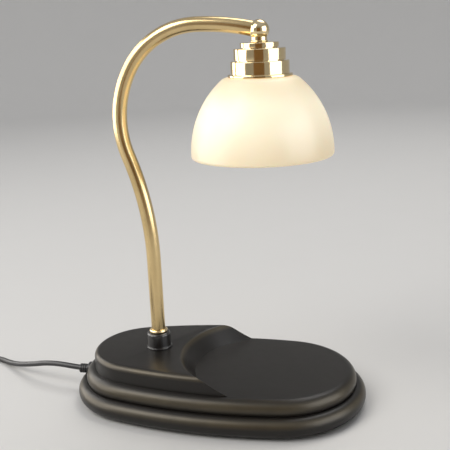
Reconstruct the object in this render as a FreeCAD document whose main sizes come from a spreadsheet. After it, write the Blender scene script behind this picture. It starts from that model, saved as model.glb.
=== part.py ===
import FreeCAD, Part
import math
import os

from FreeCAD import Placement, Rotation, Vector
import Sketcher

# Candle warmer lamp: a weighted oval base with a round tray, a bent brass arm and a glass
# shade with a reflector bulb that shines down on the tray. Millimetres, +Z up, the base
# stands on Z = 0 and its long axis is X, with the tray at the +X end.

doc = FreeCAD.newDocument("CandleWarmerLamp")
sheet = doc.addObject("Spreadsheet::Sheet", "Sizes")
TINY = 1e-4


class Size:
    """A length or angle with the sheet expression that gives it."""

    def __init__(self, value, text=None):
        self.value = float(value)
        self.text = text or repr(float(value))

    def __add__(self, other):
        other = as_size(other)
        return Size(self.value + other.value, f"({self.text} + {other.text})")

    def __sub__(self, other):
        other = as_size(other)
        return Size(self.value - other.value, f"({self.text} - {other.text})")

    def __mul__(self, other):
        other = as_size(other)
        return Size(self.value * other.value, f"({self.text} * {other.text})")

    def __truediv__(self, other):
        other = as_size(other)
        return Size(self.value / other.value, f"({self.text} / {other.text})")

    def __radd__(self, other):
        return as_size(other) + self

    def __rsub__(self, other):
        return as_size(other) - self

    def __rmul__(self, other):
        return as_size(other) * self

    def __neg__(self):
        return Size(-self.value, f"(0 - {self.text})")


def as_size(number):
    return number if isinstance(number, Size) else Size(number)


def root(size):
    return Size(math.sqrt(size.value), f"sqrt({size.text})")


def sine(degrees):
    return Size(math.sin(math.radians(degrees.value)), f"sin({degrees.text})")


def cosine(degrees):
    return Size(math.cos(math.radians(degrees.value)), f"cos({degrees.text})")


ZERO = Size(0)
cells = []


def dim(alias, value):
    """Writes one driving dimension to the sheet and returns it."""
    cell = f"B{len(cells) + 1}"
    sheet.set(f"A{len(cells) + 1}", alias)
    sheet.set(cell, str(value))
    sheet.setAlias(cell, alias)
    cells.append(alias)
    return Size(value, f"Sizes.{alias}")


# Fits and clearances
running_gap = dim("running_gap", 0.05)
thread_gap = dim("thread_gap", 0.04)
loose_gap = dim("loose_gap", 0.3)
overrun = dim("overrun", 1.0)

# Base outline: four tangent arcs round a wide end and a narrow end
centre_spacing = dim("centre_spacing", 95.2)
wide_end_radius = dim("wide_end_radius", 46.0)
narrow_end_radius = dim("narrow_end_radius", 37.8)
side_radius = dim("side_radius", 286.0)
middle_tier_step = dim("middle_tier_step", 6.8)
lower_tier_step = dim("lower_tier_step", 13.2)
foot_drop = dim("foot_drop", 1.0)
lower_tier_height = dim("lower_tier_height", 13.7)
tier_overlap = dim("tier_overlap", 3.7)
tier_flat = dim("tier_flat", 0.1)
middle_tier_height = dim("middle_tier_height", 13.7)
platform_height = dim("platform_height", 12.0)
platform_round = dim("platform_round", 3.9)
tray_centre_x = dim("tray_centre_x", 36.0)
tray_wall_radius = dim("tray_wall_radius", 51.4)
tray_wall_flare = dim("tray_wall_flare", 9.8)
base_wall = dim("base_wall", 2.6)

# Base plate, feet, weight and screws
plate_thickness = dim("plate_thickness", 1.5)
plate_recess = dim("plate_recess", 3.5)
plate_inset = dim("plate_inset", 7.4)
boss_radius = dim("boss_radius", 3.8)
boss_wall_gap = dim("boss_wall_gap", 3.6)
screw_radius = dim("screw_radius", 1.5)
screw_head_radius = dim("screw_head_radius", 2.9)
screw_head_height = dim("screw_head_height", 1.6)
screw_head_taper = dim("screw_head_taper", 0.6)
screw_length = dim("screw_length", 11.0)
weight_screw_length = dim("weight_screw_length", 9.0)
foot_radius = dim("foot_radius", 7.0)
foot_sole_radius = dim("foot_sole_radius", 6.3)
foot_inset = dim("foot_inset", 5.5)
foot_angle = dim("foot_angle", 50.0)
narrow_foot_angle = dim("narrow_foot_angle", 25.0)
weight_radius = dim("weight_radius", 35.0)
weight_thickness = dim("weight_thickness", 12.0)
weight_screw_spacing = dim("weight_screw_spacing", 36.0)

# Arm: tube, collar and what clamps its foot
arm_axis_x = dim("arm_axis_x", -42.6)
tube_radius = dim("tube_radius", 4.85)
tube_bore_radius = dim("tube_bore_radius", 3.7)
lean_radius = dim("lean_radius", 209.0)
lean_angle = dim("lean_angle", 20.2)
shoulder_radius = dim("shoulder_radius", 68.0)
shoulder_angle = dim("shoulder_angle", 31.5)
crown_bend_radius = dim("crown_bend_radius", 53.4)
arm_end_length = dim("arm_end_length", 5.0)
droop_angle = dim("droop_angle", 12.7)
ball_height = dim("ball_height", 253.0)
collar_radius = dim("collar_radius", 8.2)
collar_flange_radius = dim("collar_flange_radius", 9.0)
collar_flange_height = dim("collar_flange_height", 1.2)
collar_height = dim("collar_height", 11.4)
collar_round = dim("collar_round", 1.6)
ferrule_radius = dim("ferrule_radius", 6.0)
ferrule_height = dim("ferrule_height", 2.3)
foot_nipple_bore = dim("foot_nipple_bore", 2.5)
foot_nipple_engagement = dim("foot_nipple_engagement", 10.0)
foot_nut_radius = dim("foot_nut_radius", 7.5)
foot_nut_height = dim("foot_nut_height", 4.0)
foot_washer_radius = dim("foot_washer_radius", 9.5)
foot_washer_thickness = dim("foot_washer_thickness", 1.2)
nipple_overrun = dim("nipple_overrun", 1.5)

# Ball joint piece at the end of the arm
ball_radius = dim("ball_radius", 6.5)
ball_neck_radius = dim("ball_neck_radius", 5.0)
ball_ring_radius = dim("ball_ring_radius", 5.6)
ball_ring_height = dim("ball_ring_height", 1.3)
ball_seat_drop = dim("ball_seat_drop", 7.5)
tube_seat_distance = dim("tube_seat_distance", 2.6)

# Cap and skirt of the shade fitter
head_nipple_radius = dim("head_nipple_radius", 3.5)
head_nipple_bore = dim("head_nipple_bore", 2.3)
head_nipple_engagement = dim("head_nipple_engagement", 3.6)
crown_radius = dim("crown_radius", 12.3)
crown_height = dim("crown_height", 3.3)
cap_radius = dim("cap_radius", 16.5)
cap_height = dim("cap_height", 7.4)
skirt_radius = dim("skirt_radius", 18.7)
skirt_height = dim("skirt_height", 7.4)
flange_radius = dim("flange_radius", 20.7)
flange_height = dim("flange_height", 2.4)
drum_round = dim("drum_round", 0.7)
joint_line = dim("joint_line", 0.3)
joint_line_depth = dim("joint_line_depth", 0.8)
spun_wall = dim("spun_wall", 1.2)
neck_thread_radius = dim("neck_thread_radius", 16.6)
neck_thread_wall = dim("neck_thread_wall", 1.2)
neck_thread_length = dim("neck_thread_length", 7.6)

# Glass shade and what holds it
shade_radius = dim("shade_radius", 46.2)
shade_top_flat = dim("shade_top_flat", 3.36)
shade_shoulder_radius = dim("shade_shoulder_radius", 8.0)
shade_height = dim("shade_height", 50.4)
shade_skirt_height = dim("shade_skirt_height", 2.2)
shade_wall = dim("shade_wall", 3.0)
gasket_thickness = dim("gasket_thickness", 1.0)
gasket_radius = dim("gasket_radius", 19.4)
shade_ring_thickness = dim("shade_ring_thickness", 2.5)
shade_ring_radius = dim("shade_ring_radius", 19.4)

# Lamp holder
strap_thickness = dim("strap_thickness", 1.0)
strap_width = dim("strap_width", 8.0)
strap_leg_spacing = dim("strap_leg_spacing", 17.0)
strap_length = dim("strap_length", 26.0)
strap_drop = dim("strap_drop", 3.7)
head_nut_radius = dim("head_nut_radius", 6.6)
head_nut_height = dim("head_nut_height", 3.0)
socket_radius = dim("socket_radius", 13.3)
socket_height = dim("socket_height", 11.3)
socket_face_thickness = dim("socket_face_thickness", 2.0)
socket_screw_spacing = dim("socket_screw_spacing", 21.0)
socket_screw_radius = dim("socket_screw_radius", 1.2)
socket_screw_head_radius = dim("socket_screw_head_radius", 1.9)
socket_screw_head_height = dim("socket_screw_head_height", 1.4)
pin_spacing = dim("pin_spacing", 10.0)
pin_neck_radius = dim("pin_neck_radius", 1.4)
pin_head_radius = dim("pin_head_radius", 2.4)
pin_head_height = dim("pin_head_height", 2.4)
pin_depth = dim("pin_depth", 4.0)
twist_angle = dim("twist_angle", 20.0)
contact_thickness = dim("contact_thickness", 0.8)
contact_width = dim("contact_width", 2.6)

# Reflector bulb
bulb_base_radius = dim("bulb_base_radius", 11.5)
bulb_base_height = dim("bulb_base_height", 11.0)
reflector_radius = dim("reflector_radius", 24.8)
reflector_depth = dim("reflector_depth", 26.0)
reflector_bulge = dim("reflector_bulge", 33.0)
reflector_wall = dim("reflector_wall", 1.6)
reflector_rim = dim("reflector_rim", 3.4)
lens_thickness = dim("lens_thickness", 2.0)
lens_ledge = dim("lens_ledge", 1.0)
capsule_radius = dim("capsule_radius", 4.6)
capsule_length = dim("capsule_length", 15.0)
capsule_stem = dim("capsule_stem_radius", 3.0)

# Leads inside the lamp
lead_radius = dim("lead_radius", 0.75)
lead_offset = dim("lead_offset", 1.1)
lead_turn_radius = dim("lead_turn_radius", 5.0)
lead_foot_radius = dim("lead_foot_radius", 7.0)
passage_radius = dim("passage_radius", 2.9)
block_length = dim("block_length", 17.0)
block_width = dim("block_width", 12.0)
block_height = dim("block_height", 10.4)
block_gap = dim("block_gap", 2.7)
lead_entry = dim("lead_entry", 3.0)
terminal_pitch = dim("terminal_pitch", 3.0)

# Mains cord, its bushing, switch and plug
cord_radius = dim("cord_radius", 2.0)
cord_exit_height = dim("cord_exit_height", 16.2)
bushing_flange_radius = dim("bushing_flange_radius", 5.0)
bushing_flange_thickness = dim("bushing_flange_thickness", 2.0)
bushing_flange_sink = dim("bushing_flange_sink", 0.6)
bushing_body_radius = dim("bushing_body_radius", 3.6)
bushing_body_length = dim("bushing_body_length", 12.0)
bushing_nose_length = dim("bushing_nose_length", 7.0)
bushing_nose_radius = dim("bushing_nose_radius", 3.4)
bushing_mouth_radius = dim("bushing_mouth_radius", 2.8)
bushing_clip_radius = dim("bushing_clip_radius", 5.0)
bushing_clip_length = dim("bushing_clip_length", 2.5)
switch_x = dim("switch_x", -231.4)
switch_y = dim("switch_y", -42.1)
switch_length = dim("switch_length", 54.0)
switch_width = dim("switch_width", 24.0)
switch_height = dim("switch_height", 19.0)
switch_wall = dim("switch_wall", 1.8)
switch_round = dim("switch_round", 3.0)
switch_bow = dim("switch_bow", 2.5)
switch_post_radius = dim("switch_post_radius", 3.0)
switch_strip_width = dim("switch_strip_width", 4.0)
switch_strip_length = dim("switch_strip_length", 7.2)
rocker_length = dim("rocker_length", 18.0)
rocker_width = dim("rocker_width", 9.6)
rocker_pivot_drop = dim("rocker_pivot_drop", 4.3)
rocker_tilt = dim("rocker_tilt", 7.0)
rocker_pin_radius = dim("rocker_pin_radius", 1.4)
rocker_end_gap = dim("rocker_end_gap", 1.0)
rocker_crown = dim("rocker_crown", 1.1)
cord_entry = dim("cord_entry", 4.0)
ear_thickness = dim("ear_thickness", 1.6)
coil_y = dim("coil_y", -104.5)
coil_middle_radius = dim("coil_middle_radius", 22.0)
coil_pitch = dim("coil_pitch", 4.65)
coil_layers = dim("coil_layers", 4)
coil_turns = dim("coil_turns_per_layer", 2.1875)
cord_joint_gap = dim("cord_joint_gap", 0.1)
plug_reach = dim("plug_reach", 44.0)
plug_nose_length = dim("plug_nose_length", 12.0)
plug_nose_radius = dim("plug_nose_radius", 4.6)
plug_nose_tip_radius = dim("plug_nose_tip_radius", 2.9)
plug_length = dim("plug_length", 18.0)
plug_width = dim("plug_width", 23.0)
plug_height = dim("plug_height", 14.0)
plug_round = dim("plug_round", 3.0)
blade_spacing = dim("blade_spacing", 12.7)
blade_length = dim("blade_length", 16.0)
blade_seat = dim("blade_seat", 8.0)
blade_thickness = dim("blade_thickness", 1.5)
blade_height = dim("blade_height", 6.3)

doc.recompute()

# Levels and places that follow from the sizes
wide_centre_x = (centre_spacing + narrow_end_radius - wide_end_radius) / 2
narrow_centre_x = wide_centre_x - centre_spacing
tier_level = foot_drop + lower_tier_height - tier_overlap
tray_level = tier_level + middle_tier_height
platform_level = tray_level + platform_height
plate_top = foot_drop + plate_recess
plate_bottom = plate_top - plate_thickness
ceiling = tray_level - base_wall
platform_ceiling = platform_level - base_wall
head_x = tray_centre_x
seat_level = ball_height - ball_seat_drop

nodes = {}


def node(name, thing):
    """Gives a finished sub-part its name."""
    thing.Label = name
    nodes[name] = thing
    return thing


# Helpers for sketches and solids
def plane(body, role):
    return next(f for f in body.Origin.OriginFeatures if f.Role == role)


def new_body(name):
    return doc.addObject("PartDesign::Body", name)


def new_sketch(body, name, role="XY_Plane", offset=None):
    sketch = body.newObject("Sketcher::SketchObject", name)
    sketch.AttachmentSupport = (plane(body, role), [""])
    sketch.MapMode = "FlatFace"
    if offset is not None:
        sketch.AttachmentOffset = Placement(Vector(0, 0, offset.value), Rotation())
        sketch.setExpression("AttachmentOffset.Base.z", offset.text)
    return sketch


def tie(sketch, geometry, spot, x, y):
    """Fixes a point of the sketch at x, y by two named sizes."""
    for kind, size in (("DistanceX", x), ("DistanceY", y)):
        number = sketch.addConstraint(Sketcher.Constraint(kind, -1, 1, geometry, spot, size.value))
        sketch.setExpression(f"Constraints[{number}]", size.text)


def add_edge(sketch, start, end, bend):
    """A straight edge, or an arc of bend's radius and side, and which ends are first and last."""
    a, b = (Vector(as_size(x).value, as_size(y).value, 0) for x, y in (start, end))
    if bend is None:
        return sketch.addGeometry(Part.LineSegment(a, b)), 1, 2
    radius, side = bend
    half = (b - a) * 0.5
    left = Vector(-half.y, half.x, 0).normalize()
    reach = math.sqrt(max(radius.value ** 2 - half.Length ** 2, 0))
    centre = a + half - left * (side * reach)
    first, last = (b, a) if side > 0 else (a, b)
    angles = [math.atan2(p.y - centre.y, p.x - centre.x) for p in (first, last)]
    circle = Part.Circle(centre, Vector(0, 0, 1), radius.value)
    number = sketch.addGeometry(Part.ArcOfCircle(circle, *angles))
    return (number, 2, 1) if side > 0 else (number, 1, 2)


def join_edges(sketch, before, after):
    sketch.addConstraint(Sketcher.Constraint("Coincident", before[0], before[2],
                                             after[0], after[1]))


def set_bends(sketch, ends, bends):
    for i, (radius, _) in bends.items():
        number = sketch.addConstraint(Sketcher.Constraint("Radius", ends[i][0], radius.value))
        sketch.setExpression(f"Constraints[{number}]", radius.text)


def draw(sketch, points, bends=None):
    """A closed outline through the points. bends gives arcs: (radius, 1 left or -1 right)."""
    bends = bends or {}
    ends = [add_edge(sketch, point, points[(i + 1) % len(points)], bends.get(i))
            for i, point in enumerate(points)]
    for i, end in enumerate(ends):
        join_edges(sketch, ends[i - 1], end)
        tie(sketch, end[0], end[1], as_size(points[i][0]), as_size(points[i][1]))
    set_bends(sketch, ends, bends)


def draw_path(sketch, points, bends):
    """An open path through the points, with arcs as in draw."""
    ends = [add_edge(sketch, points[i], points[i + 1], bends.get(i))
            for i in range(len(points) - 1)]
    for before, after in zip(ends, ends[1:]):
        join_edges(sketch, before, after)
    for end, (x, y) in zip(ends, points):
        tie(sketch, end[0], end[1], as_size(x), as_size(y))
    tie(sketch, ends[-1][0], ends[-1][2], as_size(points[-1][0]), as_size(points[-1][1]))
    set_bends(sketch, ends, bends)


def ring(sketch, radius, x=ZERO, y=ZERO):
    """A full circle at x, y."""
    x, y = as_size(x), as_size(y)
    circle = Part.Circle(Vector(x.value, y.value, 0), Vector(0, 0, 1), radius.value)
    number = sketch.addGeometry(circle)
    tie(sketch, number, 3, x, y)
    bend = sketch.addConstraint(Sketcher.Constraint("Radius", number, radius.value))
    sketch.setExpression(f"Constraints[{bend}]", radius.text)


def bind(thing, **sizes):
    for key, size in sizes.items():
        setattr(thing, key, size.value)
        thing.setExpression(key, size.text)


def pad(body, sketch, length, both=False):
    feature = body.newObject("PartDesign::Pad", sketch.Name + "_pad")
    feature.Profile = sketch
    feature.Midplane = both
    bind(feature, Length=length)
    sketch.Visibility = False
    return feature


def turn(body, sketch):
    feature = body.newObject("PartDesign::Revolution", sketch.Name + "_turned")
    feature.Profile = sketch
    feature.ReferenceAxis = (sketch, ["V_Axis"])
    feature.Angle = 360
    return feature


def edges_at(shape, height):
    """The edges that lie wholly at one height."""
    names = []
    for i, edge in enumerate(shape.Edges, 1):
        box = edge.BoundBox
        if abs(box.ZMin - height.value) < TINY and abs(box.ZMax - height.value) < TINY:
            names.append(f"Edge{i}")
    return names


def round_edges(body, feature, names, radius):
    fillet = body.newObject("PartDesign::Fillet", feature.Name + "_round")
    fillet.Base = (feature, names)
    bind(fillet, Radius=radius)
    return fillet


def move(thing, x=ZERO, y=ZERO, z=ZERO, rotation=None):
    x, y, z = as_size(x), as_size(y), as_size(z)
    thing.Placement = Placement(Vector(x.value, y.value, z.value), rotation or Rotation())
    for letter, size in zip("xyz", (x, y, z)):
        thing.setExpression(f"Placement.Base.{letter}", size.text)
    return thing


UP = Rotation()
ALONG_X = Rotation(Vector(0, 1, 0), 90)
ALONG_Y = Rotation(Vector(1, 0, 0), -90)


def cylinder(name, radius, height, x=ZERO, y=ZERO, z=ZERO, rotation=UP):
    thing = doc.addObject("Part::Cylinder", name)
    bind(thing, Radius=as_size(radius), Height=as_size(height))
    return move(thing, x, y, z, rotation)


def cone(name, radius, top_radius, height, x=ZERO, y=ZERO, z=ZERO, rotation=UP):
    thing = doc.addObject("Part::Cone", name)
    bind(thing, Radius1=as_size(radius), Radius2=as_size(top_radius), Height=as_size(height))
    return move(thing, x, y, z, rotation)


def block(name, length, width, height, x, y, z):
    """A box whose middle is at x, y and whose underside is at z."""
    thing = doc.addObject("Part::Box", name)
    bind(thing, Length=as_size(length), Width=as_size(width), Height=as_size(height))
    return move(thing, as_size(x) - as_size(length) / 2, as_size(y) - as_size(width) / 2, z)


def prism(name, sides, radius, height, x, y, z):
    thing = doc.addObject("Part::Prism", name)
    thing.Polygon = sides
    bind(thing, Circumradius=as_size(radius), Height=as_size(height))
    return move(thing, x, y, z)


def fuse(name, *things):
    thing = doc.addObject("Part::MultiFuse", name)
    thing.Shapes = list(things)
    return thing


def cut(name, base, *tools):
    tool = tools[0] if len(tools) == 1 else fuse(name + "_tools", *tools)
    thing = doc.addObject("Part::Cut", name)
    thing.Base = base
    thing.Tool = tool
    return thing


def turned(name, points, bends=None, x=ZERO, z=ZERO):
    """A body of revolution about its own vertical axis, placed at x, z."""
    body = new_body(name)
    sketch = new_sketch(body, name + "_profile", "XZ_Plane")
    draw(sketch, points, bends)
    turn(body, sketch)
    move(body, x, ZERO, z)
    return body


# The base outline, grown or shrunk by an offset
wide_reach = side_radius - wide_end_radius
narrow_reach = side_radius - narrow_end_radius
along = (narrow_reach * narrow_reach - wide_reach * wide_reach
         + centre_spacing * centre_spacing) / (centre_spacing * 2)
side_centre_x = narrow_centre_x + along
side_centre_y = root(narrow_reach * narrow_reach - along * along)


def egg(body, name, offset, height):
    sketch = new_sketch(body, name, "XY_Plane", height)
    side = side_radius + offset
    wide_x = side_centre_x + (wide_centre_x - side_centre_x) * side / wide_reach
    wide_y = side_centre_y * side / wide_reach - side_centre_y
    narrow_x = side_centre_x + (narrow_centre_x - side_centre_x) * side / narrow_reach
    narrow_y = side_centre_y * side / narrow_reach - side_centre_y
    draw(sketch,
         [(wide_x, -wide_y), (wide_x, wide_y), (narrow_x, narrow_y), (narrow_x, -narrow_y)],
         {0: (wide_end_radius + offset, -1), 1: (side, -1),
          2: (narrow_end_radius + offset, -1), 3: (side, -1)})
    return sketch


def slab(name, offset, bottom, height):
    """A plain plate of the base outline."""
    body = new_body(name)
    feature = pad(body, egg(body, name + "_outline", offset, bottom), height)
    return body, feature


# Base shell: two half-round tiers and a raised platform, hollow underneath
def tier(name, offset, bottom, height):
    body, feature = slab(name, offset, bottom, height)
    doc.recompute()
    rims = edges_at(feature.Shape, bottom) + edges_at(feature.Shape, bottom + height)
    round_edges(body, feature, rims, (height - tier_flat) / 2)
    return body


lower_tier = tier("lower_tier", lower_tier_step, foot_drop, lower_tier_height)
middle_tier = tier("middle_tier", middle_tier_step, tier_level, middle_tier_height)
platform_slab, platform_pad = slab("platform_slab", ZERO, tray_level, platform_height)
doc.recompute()
round_edges(platform_slab, platform_pad, edges_at(platform_pad.Shape, platform_level),
            platform_round)
wall_rise = platform_height + overrun
tray_cutter = cone("tray_cutter", tray_wall_radius,
                   tray_wall_radius + tray_wall_flare * wall_rise / platform_height,
                   wall_rise, tray_centre_x, ZERO, tray_level)
beyond = wide_end_radius * 2
tray_clearing = block("tray_clearing", beyond, beyond * 2, wall_rise,
                      tray_centre_x + wide_end_radius, ZERO, tray_level)
platform = cut("platform", platform_slab, tray_cutter, tray_clearing)
tiers = fuse("tiers", lower_tier, middle_tier, platform)

plate_offset = lower_tier_step - plate_inset
recess, _ = slab("plate_recess_space", plate_offset, foot_drop - plate_recess, plate_recess * 2)
hollow, _ = slab("hollow", -base_wall, foot_drop, ceiling - foot_drop)
cavity_radius = (tray_centre_x - narrow_centre_x - tray_wall_radius - tray_wall_flare
                 - base_wall)
platform_hollow = cylinder("platform_hollow", cavity_radius, platform_ceiling - plate_top,
                           narrow_centre_x, ZERO, plate_top)
casing = cut("casing", tiers, recess, hollow, platform_hollow)

# Screw bosses reach from the ceiling down to the base plate
boss_reach = narrow_end_radius - base_wall - boss_wall_gap - boss_radius
wide_boss_x = wide_centre_x + wide_end_radius - base_wall - boss_wall_gap - boss_radius
waist_boss_x = side_centre_x - boss_reach
waist_half = side_radius - side_centre_y - base_wall
waist_boss_y = waist_half - boss_wall_gap - boss_radius
narrow_boss_x = narrow_centre_x - boss_reach / 2
narrow_boss_y = boss_reach * math.sqrt(3) / 2
boss_spots = [(wide_boss_x, ZERO), (waist_boss_x, waist_boss_y), (waist_boss_x, -waist_boss_y),
              (narrow_boss_x, narrow_boss_y), (narrow_boss_x, -narrow_boss_y)]
bosses = [cylinder(f"boss_{i}", boss_radius, ceiling - plate_top + base_wall / 2, x, y, plate_top)
          for i, (x, y) in enumerate(boss_spots)]
pilots = [cylinder(f"pilot_{i}", screw_radius + thread_gap, screw_length + overrun, x, y,
                   plate_top - overrun)
          for i, (x, y) in enumerate(boss_spots)]
nipple_radius = tube_bore_radius - thread_gap
arm_hole = cylinder("arm_hole", nipple_radius + running_gap, base_wall * 3, arm_axis_x, ZERO,
                    platform_ceiling - base_wall)
shell_tip_x = narrow_centre_x - narrow_end_radius - middle_tier_step
flange_face_x = shell_tip_x + bushing_flange_sink
bushing_hole = cylinder("bushing_hole", bushing_body_radius + running_gap,
                        bushing_body_length + bushing_nose_length, flange_face_x - overrun, ZERO,
                        cord_exit_height, ALONG_X)
bushing_seat = cylinder("bushing_seat", bushing_flange_radius + loose_gap,
                        bushing_nose_length, flange_face_x - bushing_nose_length, ZERO,
                        cord_exit_height, ALONG_X)
node("base_shell", cut("base_shell", fuse("casing_with_bosses", casing, *bosses),
                       arm_hole, bushing_hole, bushing_seat, *pilots))

# Base plate with its screws, the cast weight and the rubber feet
plate_solid, _ = slab("plate_solid", plate_offset - loose_gap, plate_bottom, plate_thickness)
weight_spots = [(tray_centre_x, weight_screw_spacing / 2), (tray_centre_x, -weight_screw_spacing / 2)]
plate_holes = [cylinder(f"plate_hole_{i}", screw_radius + running_gap * 2, plate_thickness * 3,
                        x, y, plate_bottom - plate_thickness)
               for i, (x, y) in enumerate(boss_spots + weight_spots)]
node("base_plate", cut("base_plate", plate_solid, *plate_holes))


def screws(name, spots, length):
    """Pan head screws driven upwards through the base plate."""
    parts = []
    for i, (x, y) in enumerate(spots):
        head = cone(f"{name}_head_{i}", screw_head_radius - screw_head_taper, screw_head_radius,
                    screw_head_height, x, y, plate_bottom - screw_head_height)
        shank = cylinder(f"{name}_shank_{i}", screw_radius, length, x, y, plate_bottom)
        parts.append(fuse(f"{name}_{i}", head, shank))
    group = doc.addObject("Part::Compound", name)
    group.Links = parts
    return node(name, group)


screws("base_screws", boss_spots, screw_length)
screws("counterweight_screws", weight_spots, weight_screw_length)
weight_holes = [cylinder(f"weight_hole_{i}", screw_radius + thread_gap,
                         weight_screw_length + overrun, x, y, plate_top - overrun)
                for i, (x, y) in enumerate(weight_spots)]
weight_solid = cylinder("weight_solid", weight_radius, weight_thickness, tray_centre_x, ZERO,
                        plate_top)
node("counterweight", cut("counterweight", weight_solid, *weight_holes))

wide_foot_reach = wide_end_radius + plate_offset - foot_radius - foot_inset
narrow_foot_reach = narrow_end_radius + plate_offset - foot_radius - foot_inset
foot_spots = []
for centre, reach, angle in ((wide_centre_x, wide_foot_reach, foot_angle),
                             (narrow_centre_x, -narrow_foot_reach, narrow_foot_angle)):
    foot_x = centre + reach * cosine(angle)
    foot_y = reach * sine(angle)
    foot_spots += [(foot_x, foot_y), (foot_x, -foot_y)]
feet = doc.addObject("Part::Compound", "rubber_feet")
feet.Links = [cone(f"foot_{i}", foot_sole_radius, foot_radius, plate_bottom, x, y, ZERO)
              for i, (x, y) in enumerate(foot_spots)]
node("rubber_feet", feet)

# Arm: a riser, a long lean outwards and a bend over to the ball above the tray
rise_a = lean_radius * sine(lean_angle)
rise_b = shoulder_radius * (sine(lean_angle) + sine(shoulder_angle))
rise_c = crown_bend_radius * (1 - sine(shoulder_angle))
out_x = arm_axis_x - lean_radius * (1 - cosine(lean_angle))
shoulder_x = out_x + shoulder_radius * (cosine(lean_angle) - cosine(shoulder_angle))
crest_x = shoulder_x + crown_bend_radius * cosine(shoulder_angle)
crest_radius = (head_x - crest_x - arm_end_length * cosine(droop_angle)) / sine(droop_angle)
fall = crest_radius * (1 - cosine(droop_angle)) + arm_end_length * sine(droop_angle)
riser_top = ball_height + fall - rise_a - rise_b - rise_c
crest_level = ball_height + fall


def before_ball(distance):
    """A point of the arm's axis this far short of the ball's centre."""
    return (head_x - distance * cosine(droop_angle), ball_height + distance * sine(droop_angle))


arm_bends = [
    (arm_axis_x, riser_top),
    (out_x, riser_top + rise_a),
    (shoulder_x, crest_level - rise_c),
    (crest_x, crest_level),
    before_ball(arm_end_length),
]
arm_arcs = [(lean_radius, -1), (shoulder_radius, 1), (crown_bend_radius, 1), (crest_radius, 1)]


def pipe(body, profile, path):
    feature = body.newObject("PartDesign::AdditivePipe", body.Name + "_pipe")
    feature.Profile = profile
    feature.Spine = path
    return feature


arm_body = new_body("arm_tube")
arm_path = new_sketch(arm_body, "arm_path", "XZ_Plane")
draw_path(arm_path, [(arm_axis_x, platform_level), *arm_bends, before_ball(tube_seat_distance)],
          dict(enumerate(arm_arcs, 1)))
arm_ring = new_sketch(arm_body, "arm_ring", "XY_Plane", platform_level)
ring(arm_ring, tube_radius, arm_axis_x)
ring(arm_ring, tube_bore_radius, arm_axis_x)
pipe(arm_body, arm_ring, arm_path)
node("arm_tube", arm_body)


def tube(name, outer, inner, height, x, z):
    """A plain ring or pipe standing at x, z."""
    body = new_body(name)
    sketch = new_sketch(body, name + "_ring")
    ring(sketch, outer)
    ring(sketch, inner)
    pad(body, sketch, height)
    return move(body, x, ZERO, z)


def nut(name, corner_radius, bore, height, x, z):
    body = prism(name + "_hexagon", 6, corner_radius, height, x, ZERO, z)
    hole = cylinder(name + "_bore", bore, height * 3, x, ZERO, z - height)
    return node(name, cut(name, body, hole))


# Collar, ferrule and the clamp of the arm's foot
foot_bore = tube_radius + running_gap
node("arm_collar", turned(
    "arm_collar",
    [(foot_bore, ZERO), (collar_flange_radius, ZERO), (collar_flange_radius, collar_flange_height),
     (collar_radius, collar_flange_height), (collar_radius, collar_height - collar_round),
     (collar_radius - collar_round, collar_height), (foot_bore, collar_height)],
    {4: (collar_round, -1)}, arm_axis_x, platform_level))
ferrule_waist = ferrule_radius - ferrule_height / 4
ferrule_bow = ferrule_height * 5 / 8
node("arm_ferrule", turned(
    "arm_ferrule",
    [(foot_bore, ZERO), (ferrule_waist, ZERO), (ferrule_waist, ferrule_height),
     (foot_bore, ferrule_height)],
    {1: (ferrule_bow, -1)}, arm_axis_x, platform_level + collar_height))
washer_level = platform_ceiling - foot_washer_thickness
nut_level = washer_level - foot_nut_height
nipple_foot = nut_level - nipple_overrun
node("arm_nipple", tube("arm_nipple", nipple_radius, foot_nipple_bore,
                        platform_level + foot_nipple_engagement - nipple_foot,
                        arm_axis_x, nipple_foot))
node("arm_washer", tube("arm_washer", foot_washer_radius, nipple_radius + running_gap,
                        foot_washer_thickness, arm_axis_x, washer_level))
nut("arm_nut", foot_nut_radius, nipple_radius + thread_gap, foot_nut_height, arm_axis_x, nut_level)

# Ball at the arm's end, bored for the tube, the nipple and the leads
slope = 90 + droop_angle


def along_arm(name, radius, start, end):
    """A cylinder on the arm's last run, between two distances short of the ball's centre."""
    x, z = before_ball(start)
    thing = cylinder(name, radius, start - end, x, ZERO, z, Rotation(Vector(0, 1, 0), slope.value))
    thing.setExpression("Placement.Rotation.Angle", slope.text)
    return thing


ball = doc.addObject("Part::Sphere", "ball")
bind(ball, Radius=ball_radius)
move(ball, head_x, ZERO, ball_height)
ball_neck = cylinder("ball_neck", ball_neck_radius, ball_seat_drop, head_x, ZERO, seat_level)
ball_ring = cylinder("ball_ring", ball_ring_radius, ball_ring_height, head_x, ZERO, seat_level)
tube_seat = along_arm("tube_seat", tube_radius + running_gap, ball_radius * 2, tube_seat_distance)
arm_passage = along_arm("arm_passage", passage_radius, ball_radius, ZERO)
head_passage = cylinder("head_passage", passage_radius, ball_seat_drop, head_x, ZERO, seat_level)
nipple_seat = cylinder("nipple_seat", head_nipple_radius + thread_gap,
                       head_nipple_engagement + loose_gap, head_x, ZERO, seat_level)
node("ball_knuckle", cut("ball_knuckle", fuse("ball_solid", ball, ball_neck, ball_ring),
                         tube_seat, arm_passage, head_passage, nipple_seat))

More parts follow.
